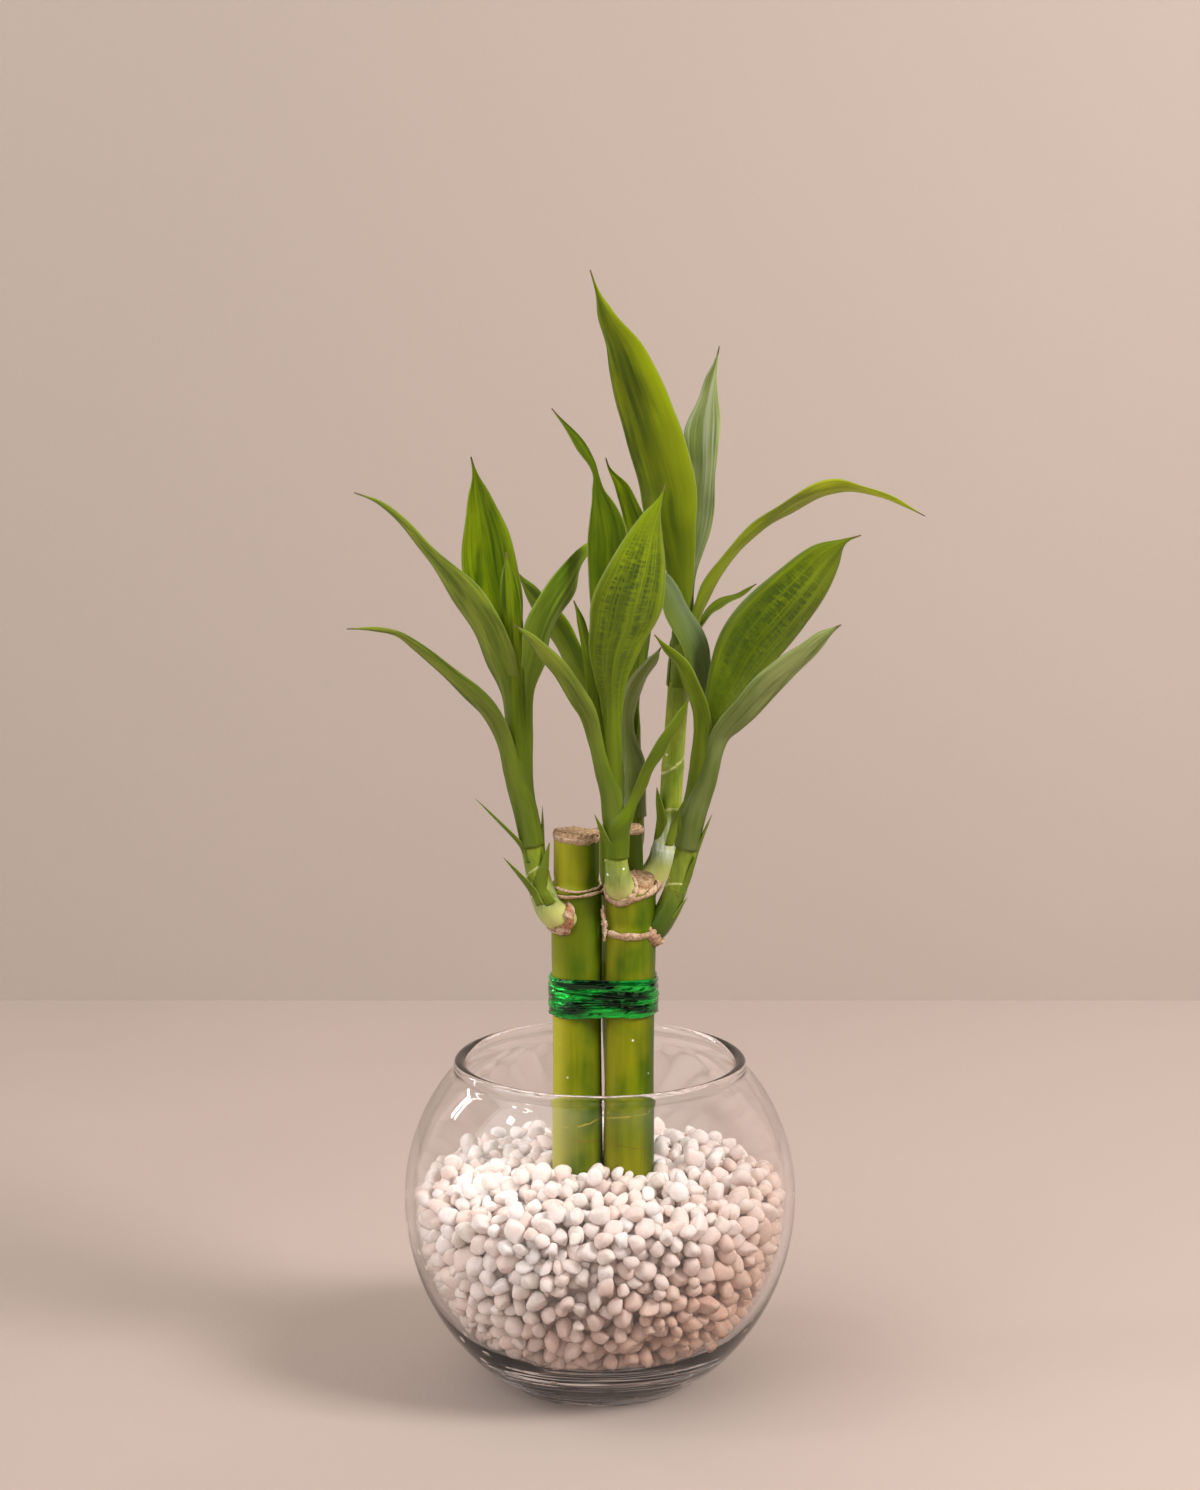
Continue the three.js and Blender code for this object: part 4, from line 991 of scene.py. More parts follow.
# %% Ribbon turns
TIE_LOW, TIE_HIGH, FOIL_THICK, ACROSS = 100.2, 111.0, 0.16, 5
WIDE_TURNS = (  # height, width, how far off the canes, lean to x and y, creases
    (108.0, 4.6, 0.30, (-0.045, -0.02), 0.3), (103.0, 4.0, 0.30, (0.045, 0.0), 0.3),
    (105.6, 4.2, 0.42, (0.01, 0.02), 0.3), (102.4, 2.4, 0.62, (0.02, 0.02), 0.2),
    (108.9, 2.2, 0.60, (-0.02, 0.0), 0.2),
)
STRANDS = (  # height, lean to x
    (104.2, 0.09), (105.4, -0.075), (106.6, -0.03), (104.9, 0.04), (107.2, -0.1), (103.6, -0.02),
)


def hull_line(height, count):
    """A loop drawn tight round the three canes, evenly spaced."""
    angle = full_turn(720)
    way = np.stack([np.cos(angle), np.sin(angle)], -1)
    middles = np.array([cane_middle(cane, height) for cane in CANES.values()])
    radii = np.array([cane["radius"] for cane in CANES.values()])
    best = (way @ middles.T + radii).argmax(axis=1)
    loop = middles[best] + way * radii[best][:, None]
    closed = np.vstack([loop, loop[:1]])
    run = run_along(closed)
    want = np.linspace(0, run[-1], count, endpoint=False)
    return np.stack([np.interp(want, run, closed[:, i]) for i in (0, 1)], -1)


def ribbon(height, width, lift, lean, crease, rng, count=84, strand=0.0):
    """One turn: a flat band with creases, leaning as `lean` says. Its section is a thin loop."""
    angle = full_turn(count)
    base = hull_line(height, count)
    step = np.roll(base, -1, axis=0) - np.roll(base, 1, axis=0)
    normal = np.stack([step[:, 1], -step[:, 0]], -1) / np.linalg.norm(step, axis=1, keepdims=True)
    normal *= np.sign((normal * (base - base.mean(axis=0))).sum(1, keepdims=True))
    level = height + base @ lean + 0.25 * wave(angle, rng, 5)
    half = width / 2 * (1 + 0.18 * wave(angle, rng, 8, 0.6))
    rings = []
    for side in (1, -1):
        for k in range(ACROSS)[::side]:
            share = 2 * k / (ACROSS - 1) - 1
            push = lift + side * FOIL_THICK / 2 + strand * (1 - share**2)
            push = push + np.abs(crease * rng.normal(size=count)) * (side > 0)
            rings.append(np.column_stack([base + normal * push[:, None], level + share * half]))
    return np.array(rings).transpose(1, 0, 2)


def wound_tie():
    """All turns of the ribbon as one mesh."""
    rng = np.random.default_rng(5)
    turns = [ribbon(*row, rng) for row in WIDE_TURNS]
    for height, lean in STRANDS:
        turns.append(ribbon(height, 0.9, 0.62, (lean, 0.02), 0.1, rng, count=120, strand=0.25))
    points, faces, used = [], [], 0
    for rings in turns:
        rings[:, :, 2] = np.clip(rings[:, :, 2], TIE_LOW, TIE_HIGH)
        some, more = skin(rings, looped=True)
        points.append(some)
        faces.append(more + used)
        used += len(some)
    return np.vstack(points), np.vstack(faces)


tie = make_piece("foil_tie", *wound_tie(), green_foil, "foil", smooth=False)
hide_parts("tie")
print("foil tie:", len(tie.data.polygons), "faces")

# %% [markdown]
# ## Lines through the shoots and leaves
#
# A shoot's stem and a leaf's middle rib each follow a smooth line through a few points that
# were measured on the plant. The line is a centripetal spline, which passes through its
# points without loops, and it is then split into even steps.


# %% Smooth lines
def smooth_line(points, per=14):
    """A line through rows of x, y, z and any further columns, which are smoothed alike."""
    rows = np.array(points, float)
    rows = np.vstack([2 * rows[0] - rows[1], rows, 2 * rows[-1] - rows[-2]])
    t = np.linspace(0, 1, per, endpoint=False)[:, None]
    parts = []
    for a, b, c, d in zip(rows[:-3], rows[1:-2], rows[2:-1], rows[3:]):
        u, v, w = (math.sqrt(np.linalg.norm((q - p)[:3])) for p, q in ((a, b), (b, c), (c, d)))
        leave = ((b - a) / u - (c - a) / (u + v) + (c - b) / v) * v
        arrive = ((c - b) / v - (d - b) / (v + w) + (d - c) / w) * v
        parts.append(
            (2 * t**3 - 3 * t**2 + 1) * b
            + (t**3 - 2 * t**2 + t) * leave
            + (3 * t**2 - 2 * t**3) * c
            + (t**3 - t**2) * arrive
        )
    return np.vstack([*parts, rows[-2:-1]])


def even_steps(line, steps):
    """The same line in even steps, and the distance of each from the start."""
    run = run_along(line[:, :3])
    want = np.linspace(0, run[-1], steps + 1)
    return np.column_stack([np.interp(want, run, column) for column in line.T]), want


def directions(line):
    way = np.gradient(line[:, :3], axis=0)
    return way / np.linalg.norm(way, axis=1, keepdims=True)


def smoothstep(value, low, high):
    t = np.clip((value - low) / (high - low), 0, 1)
    return t * t * (3 - 2 * t)


# %% Shoots as measured
SHOOTS = {  # `neck` is the height of the lowest sleeve, `rings` the rims along the stem
    "a": dict(
        radius=2.9, neck=146, flare=1.2, bloom=0.2, pale=0.9, rings=[0.3],
        path=[
            (-7.4, -9, 126.6), (-11.2, -11.2, 127.6), (-14, -10.8, 131.6), (-16.4, -9.8, 140.4),
            (-18.1, -9, 150.4), (-19.7, -9, 160.3), (-21.2, -9, 176),
        ],
        bracts=[
            ((-17.6, -9.3, 144.5), (-31.5, -14, 158.2), 5),
            ((-14.6, -11, 133.5), (-24.4, -17, 143.6), 5),
            ((-12.6, -11, 134.5), (-12.8, -12.4, 146.4), 4),
            ((-17, -8.7, 145), (-14.6, -8.4, 155), 3.6),
        ],
    ),
    "b": dict(
        radius=2.7, neck=148, flare=1.0, bloom=0.1, pale=0.9, rings=[0.26],
        path=[
            (6, -9.4, 133.4), (5, -12.6, 135), (4.4, -14.4, 138.6), (4, -15, 143), (3.8, -15, 149),
            (3.2, -15, 156), (3.1, -15, 164), (3, -15, 177),
        ],
        bracts=[
            ((2.6, -15.6, 146), (-1.4, -18.6, 155), 4),
        ],
    ),
    "c": dict(
        radius=2.8, neck=184, flare=0.5, bloom=1.0, pale=0.7, rings=[0.16, 0.27, 0.44],
        path=[
            (9.4, 6.8, 130.4), (13, 7.8, 132.6), (15.8, 8.6, 137), (17.2, 9, 142.6), (18, 9, 149),
            (18.7, 9, 160), (19.5, 9, 172.5), (20.3, 9, 185), (20.8, 9, 197.4), (21, 9, 208),
        ],
        bracts=[
            ((17, 7.6, 148), (14.6, 5.4, 157.2), 4.2), ((18.2, 7.4, 147), (23, 3, 156.4), 4.2),
        ],
    ),
    "d": dict(
        radius=2.8, neck=145, flare=0.5, bloom=0.0, pale=-0.9, rings=[0.28],
        path=[
            (10.2, -6.6, 121.4), (13.8, -7.2, 122.8), (16.4, -7.5, 126.2), (18.2, -7.5, 130.2),
            (20.2, -7.5, 136), (22.2, -7.5, 143.4), (23.6, -7.5, 150.9), (25.5, -7.5, 159.5),
            (27.6, -7.5, 175),
        ],
        bracts=[
            ((22, -8.6, 144), (20.4, -9.4, 154), 3.6), ((22.4, -8, 143), (28.6, -8, 153), 4.4),
            ((17, -8, 125.6), (22.4, -9.4, 131.6), 4.4),
            ((21, -8.6, 135), (25, -10.6, 143.6), 4.2),
        ],
    ),
    "e": dict(
        radius=2.5, neck=149, flare=0.5, bloom=0.0, pale=0.6, rings=[],
        path=[
            (6.4, 9.5, 138), (8.6, 13, 141.4), (9, 15.4, 147), (8.6, 16, 154), (7.8, 16, 162),
            (7.2, 16, 176),
        ],
        bracts=[
            ((8.8, 14.6, 146), (8, 11.6, 156), 4),
        ],
    ),
}
print("shoots:", list(SHOOTS))

# %% [markdown]
# ## Stems
#
# A shoot's stem is wrapped in leaf bases, each of which ends in a thin pale rim round the
# stem. It is swollen and almost white at its root and turns green further up, with a
# waxy bloom on some stretches. The stem is a row of rings along its line, fattened at its
# root and at each rim.

# %% Shoot skin
m = new_look("shoot_skin")
fine = m.streaks((1400, 1400, 110), 0.3, 0.7)
bloom = m.tag("bloom")
green = m.blend(m.streaks((160, 160, 90), 0.42, 0.62), (0.12, 0.18, 0.008), (0.25, 0.30, 0.016))
for colour, *masks in (
    ((0.34, 0.40, 0.06), fine, 0.35),
    ((0.54, 0.52, 0.18), m.ramp(m.tag("pale"), 0.0, 1.0)),
    ((0.05, 0.09, 0.004), m.ramp(m.tag("pale"), 0.0, -1.0)),
    ((0.62, 0.66, 0.54), bloom, m.ramp(fine, -0.4, 1.0)),
    ((0.55, 0.54, 0.22), m.tag("rim")),
    ((0.85, 0.85, 0.75), m.mask("specks", Scale=520.0, Size=0.2, Share=0.035)),
):
    green = m.over(green, colour, *masks)
shoot_wax = m.principled(
    Base_Color=green, Roughness=m.ramp(bloom, -0.7, 1.6, smooth=False), Specular_IOR_Level=0.3,
    Subsurface_Weight=0.15, Subsurface_Radius=(0.6, 1.0, 0.2), Subsurface_Scale=0.0015,
    Normal=m.bump(0.25, 0.0002, fine),
)
shoot_skin = m.surface(shoot_wax)

# %% Stem shapes
CORE_R, NECK_LONG, RIM_PROUD, RIM_LEAN, RIM_WIDE = 0.9, 3.0, 0.1, 0.03, 0.0035
STEM_STEPS, STEM_AROUND = 260, 36
stem_lines = {}


def stem_radius(shoot, share, height):
    """Flared where it leaves the cane, and only a thin core inside the leaf bases."""
    swell = shoot["flare"] * (1 - smoothstep(share, 0.02, 0.3))
    thin = smoothstep(height, shoot["neck"], shoot["neck"] + NECK_LONG)
    radius = shoot["radius"] + (CORE_R - shoot["radius"]) * thin
    for ring in shoot["rings"]:
        radius = radius + RIM_PROUD * np.exp(-(((share - ring) / 0.02) ** 2))
        radius = radius + RIM_PROUD * (share < ring)
    return radius + swell


def across_frame(way):
    """Two directions across a line, for each of its points."""
    first = np.cross(way, (0, 1, 0.01))
    first /= np.linalg.norm(first, axis=1, keepdims=True)
    return first, np.cross(first, way)


def spokes(first, second, angle):
    return first * np.cos(angle)[..., None] + second * np.sin(angle)[..., None]


def stem_mesh(letter, shoot):
    """A shoot's stem, and tags for its pale root, its bloom and the rims of its leaf bases."""
    line, run = even_steps(smooth_line(shoot["path"]), STEM_STEPS)
    share, way = run / run[-1], directions(line)
    radius = stem_radius(shoot, share, line[:, 2])
    stem_lines[letter] = (line, way, radius)
    angle = full_turn(STEM_AROUND)
    first, second = (side[:, None] for side in across_frame(way))
    rings = line[:, None] + spokes(first, second, angle) * radius[:, None, None]
    rim = np.zeros((len(line), len(angle)))
    for ring in shoot["rings"]:
        lean = RIM_LEAN * np.sin(angle + 1.0 + 9 * ring)
        rim = np.maximum(rim, np.abs(share[:, None] - ring - lean) < RIM_WIDE)
    bloom = shoot["bloom"] * smoothstep(share, 0.1, 0.16) * smoothstep(share, 0.30, 0.2)
    pale = shoot["pale"] * (1 - smoothstep(share, 0.05, 0.2 if shoot["pale"] > 0 else 0.5))
    columns = dict(pale=pale[:, None] + 0 * rim, rim=rim, bloom=bloom[:, None] + 0 * rim)
    return skin(rings), {name: for_ends(values) for name, values in columns.items()}


for letter, shoot in SHOOTS.items():
    mesh, tags = stem_mesh(letter, shoot)
    stem = make_piece("stem_" + letter, *mesh, shoot_skin, "shoot", **tags)
    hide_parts("shoot_" + letter)
print("stems:", list(stem_lines))


# %% Torn skin at the roots
def ruff(letter, start, lift, proud, torn, seed, rust):
    """A ragged cuff round a stem's root, `start` mm from its first point."""
    rng = np.random.default_rng(seed)
    line, way, radius = stem_lines[letter]
    run = run_along(line)
    angle = full_turn(140)
    edge = torn * wave(angle, rng, 16, 0.3)
    first, second = across_frame(way)
    rows = []
    section = (-1.3, -0.3), (-1.2, 1.1), (-0.2, 1.0), (lift, 0.55), (lift, 0.25), (-0.4, -0.3)
    for along, off in section:
        place = start + along + edge * (along > 0) + 0.3 * wave(angle, rng, 10, 0.5)
        index = np.interp(place, run, np.arange(len(run)))
        low = np.clip(index.astype(int), 0, len(run) - 2)
        part = (index - low)[:, None]
        middle = line[low] * (1 - part) + line[low + 1] * part
        wide = radius[low] + proud * off * (1 + 0.35 * wave(angle, rng, 12, 0.4))
        rows.append(middle + spokes(first[low], second[low], angle) * wide[:, None])
    return dry_piece("ruff_" + letter, np.array(rows).transpose(1, 0, 2), rust)


ruffs = [
    ruff("a", 3.6, 0.5, 1.0, 0.5, 61, 0.9),
    ruff("b", 3.0, 0.6, 0.7, 0.6, 62, 0.3),
    ruff("c", 3.2, 1.6, 0.9, 1.2, 63, 0.7),
    ruff("d", 3.9, 0.5, 0.9, 0.6, 64, 0.5),
]
print("ruffs:", [r.name for r in ruffs])

# %% [markdown]
# ## Blades
#
# A leaf starts as a sleeve that wraps the stem and opens into a flat, gently folded blade
# with a long thin tip. Slices along its rib give it a thin closed body: the slice is an arc
# that is rolled up at the base and opens out above, with rippled edges. Bracts, the short
# scales on the stems, are small leaves of the same make.

# %% Leaf finishes
# The second base is darker, as painted shade on the leaves of the right-hand shoot.
LEAF_BASE, PAINTED_SHADE_BASE = (0.14, 0.20, 0.009), (0.09, 0.13, 0.006)
GLOW_GREEN, EDGE_GREEN, WITHERED = (0.50, 0.62, 0.010), (0.40, 0.46, 0.16), (0.20, 0.13, 0.06)
MARK_GREEN, STRIPE_GREEN, PAINTED_SHEEN_GREEN = (0.035, 0.075, 0.012), (0.72, 0.78, 0.56), (0.28, 0.34, 0.24)


def leaf_material(name, deep, bright, polish, mottle=0, stripe=0, frost=0, rich=0, base=LEAF_BASE):
    """Waxy green that glows where light comes through, with parallel veins and pale edges."""
    m = new_look(name)
    across, reach, tone, along = (m.tag(label) for label in ("across", "reach", "tone", "along"))
    m.place = m.add("CombineXYZ", X=across, Y=reach, Z=tone).outputs[0]
    side = m.calc("ABSOLUTE", across)
    veins = m.streaks((26, 0.05, 40), 0.35, 0.65)
    bands = m.streaks((4.5, 0.025, 40), 0.4, 0.62)
    green = m.blend(m.streaks((1.6, 0.06, 40), 0.42, 0.60), deep, bright)
    green = m.over(green, scaled(1.35, bright), bands, 0.5)
    green = m.over(green, scaled(0.45, deep), veins, 0.45)
    if mottle:
        rows = m.streaks((15, 0.012, 90), 0.42, 0.55)
        cross = m.streaks((3.5, 1.7, 90), 0.38, 0.58)
        within = m.times(m.ramp(side, 0.95, 0.6), m.ramp(along, 0.95, 0.75))
        within = m.times(within, m.ramp(along, 0.25, 0.4))
        marks = m.times(m.times(rows, cross), within)
        green = m.over(green, MARK_GREEN, marks, mottle)
    if stripe:
        green = m.over(green, STRIPE_GREEN, m.streaks((7, 0.012, 60), 0.52, 0.62), stripe)
    # Painted light: one side of the blade is painted yellow, as light shining through it, and the
    # middle is painted darker.
    if rich:
        green = m.over(green, (0.31, 0.37, 0.006), m.ramp(across, -0.1, -0.8))
        middle = m.ramp(m.calc("ABSOLUTE", m.calc("ADD", across, -0.15)), 0.6, 0.1)
        green = m.over(green, (0.055, 0.085, 0.002), middle, m.ramp(along, 0.35, 0.6), rich)
    # Painted sheen: one side of the blade is painted whitish, as a sheen of light.
    if frost:
        green = m.over(green, PAINTED_SHEEN_GREEN, m.ramp(across, -0.6, 0.9), frost)
    green = m.over(green, base, m.ramp(reach, 72.0, 14.0), 0.75)
    green = m.over(green, EDGE_GREEN, m.ramp(side, 0.93, 1.0), 0.5)
    green = m.over(green, WITHERED, m.ramp(along, 0.965, 0.99))
    wax = m.principled(
        Base_Color=green, Roughness=m.ramp(veins, -1.2, 3.2, smooth=False),
        Specular_IOR_Level=polish,
        Normal=m.bump(0.22, 0.0003, m.calc("MULTIPLY_ADD", veins, 0.6, bands)),
    )
    glow = m.add("BsdfTranslucent", Color=m.blend(0.6, green, GLOW_GREEN)).outputs[0]
    return m.surface(m.mix(0.36, wax, glow))


LEAF_GREENS = {  # deep and bright green, polish, and what sets the look apart
    "fresh": ((0.062, 0.12, 0.003), (0.27, 0.36, 0.006), 0.3, {}),
    "mottled": ((0.15, 0.22, 0.005), (0.28, 0.37, 0.008), 0.3, dict(mottle=0.9)),
    # Painted sheen: the pale whitish greens; the stripes are the leaf's own.
    "striped": ((0.235, 0.325, 0.08), (0.53, 0.62, 0.21), 0.6, dict(stripe=0.9)),
    # Painted sheen on one side of the blade, with a base in painted shade.
    "frosted": ((0.065, 0.11, 0.010), (0.175, 0.24, 0.026), 0.5, dict(frost=0.45, base=PAINTED_SHADE_BASE)),
    # Painted light: one side painted yellow as backlight, with a darker middle.
    "golden": ((0.062, 0.105, 0.002), (0.28, 0.34, 0.005), 0.3, dict(rich=0.5)),
    # Painted sheen: whitish greens, with a base in painted shade.
    "polished": ((0.19, 0.27, 0.05), (0.52, 0.59, 0.22), 0.5, dict(base=PAINTED_SHADE_BASE)),
    # Painted light: a lighter copy of the green, as a sheen from above.
    "bright": ((0.265, 0.325, 0.010), (0.60, 0.65, 0.024), 0.5, {}),
    # Painted sheen: lighter greens that stand in for a sheen of light.
    "sheen": ((0.092, 0.155, 0.009), (0.345, 0.42, 0.036), 0.6, {}),
    # Painted light: a lighter copy of the green, for a leaf in light.
    "lively": ((0.12, 0.21, 0.010), (0.38, 0.52, 0.03), 0.6, {}),
    "shadowed": ((0.12, 0.175, 0.006), (0.22, 0.29, 0.008), 0.3, dict(mottle=0.9)),
    "dusky": ((0.045, 0.09, 0.003), (0.14, 0.20, 0.006), 0.3, {}),
}
LEAF_LOOKS = {}
for name, (*greens, more) in LEAF_GREENS.items():
    LEAF_LOOKS[name] = leaf_material("leaf_" + name, *greens, **more)
bract_look = leaf_material("bract_green", (0.18, 0.25, 0.015), (0.34, 0.40, 0.04), 0.3)
print("leaf finishes:", list(LEAF_LOOKS))

# %% Slices of a blade
SLICE, RIB_THICK, EDGE_THIN = 11, 0.22, 0.13
UP = np.array((0.0, 0.0, 1.0))


def edge_wave(share, rng, ripples=3):
    """Random ripples along a leaf's edge."""
    total = np.zeros_like(share)
    for _ in range(ripples):
        high = rng.uniform(0.4, 1)
        total += high * np.sin(2 * math.pi * (rng.uniform(1.2, 5.5) * share + rng.random()))
    return total


def blade_mesh(line, run, outward, fold, centred, roll, rng, ripple, opens, keel=0.12):
    """Closed thin slices along a rib, given as rows of x, y, z and width, and the mesh's tags."""
    way = directions(line)
    width = np.maximum(line[:, 3], 0.2)
    share = run / run[-1]
    face = UP - outward
    face = face - (way @ face)[:, None] * way
    face /= np.linalg.norm(face, axis=1, keepdims=True)
    side = np.cross(way, face)
    turn = np.radians(roll)[:, None]
    cos, sin = np.cos(turn), np.sin(turn)
    face, side = face * cos + side * sin, side * cos - face * sin
    bend = width / 2 / np.sin(np.minimum(fold, math.pi / 2))
    across = np.linspace(-1, 1, SLICE)
    open_part = smoothstep(run, *opens)
    waves = [edge_wave(share, rng) for _ in (0, 1)]
    layers = []
    for thick in (1, -1):
        for s in across[::thick]:
            angle = fold * s
            depth = bend * (1 - np.cos(angle)) - centred * bend * (1 - np.cos(fold)) / 2
            depth = depth - keel * width / 10 * (1 - abs(s)) * open_part
            lifted = waves[0 if s < 0 else 1] * s * s * ripple * open_part
            half = (RIB_THICK - EDGE_THIN * s * s) * np.minimum(width / 2.0, 1) * thick
            x = (bend - half) * np.sin(angle)
            y = depth + lifted * np.minimum(width / 8, 1.2) + half * np.cos(angle)
            layers.append(line[:, :3] + side * x[:, None] + face * y[:, None])
    marks = np.concatenate([across, across[::-1]])
    flat = np.zeros((len(run), len(marks)))
    columns = dict(across=flat + marks, along=flat + share[:, None], reach=flat + run[:, None])
    tags = {name: for_ends(values) for name, values in columns.items()}
    tags["tone"] = np.full(len(tags["along"]), rng.random())
    return skin(np.array(layers).transpose(1, 0, 2)), tags


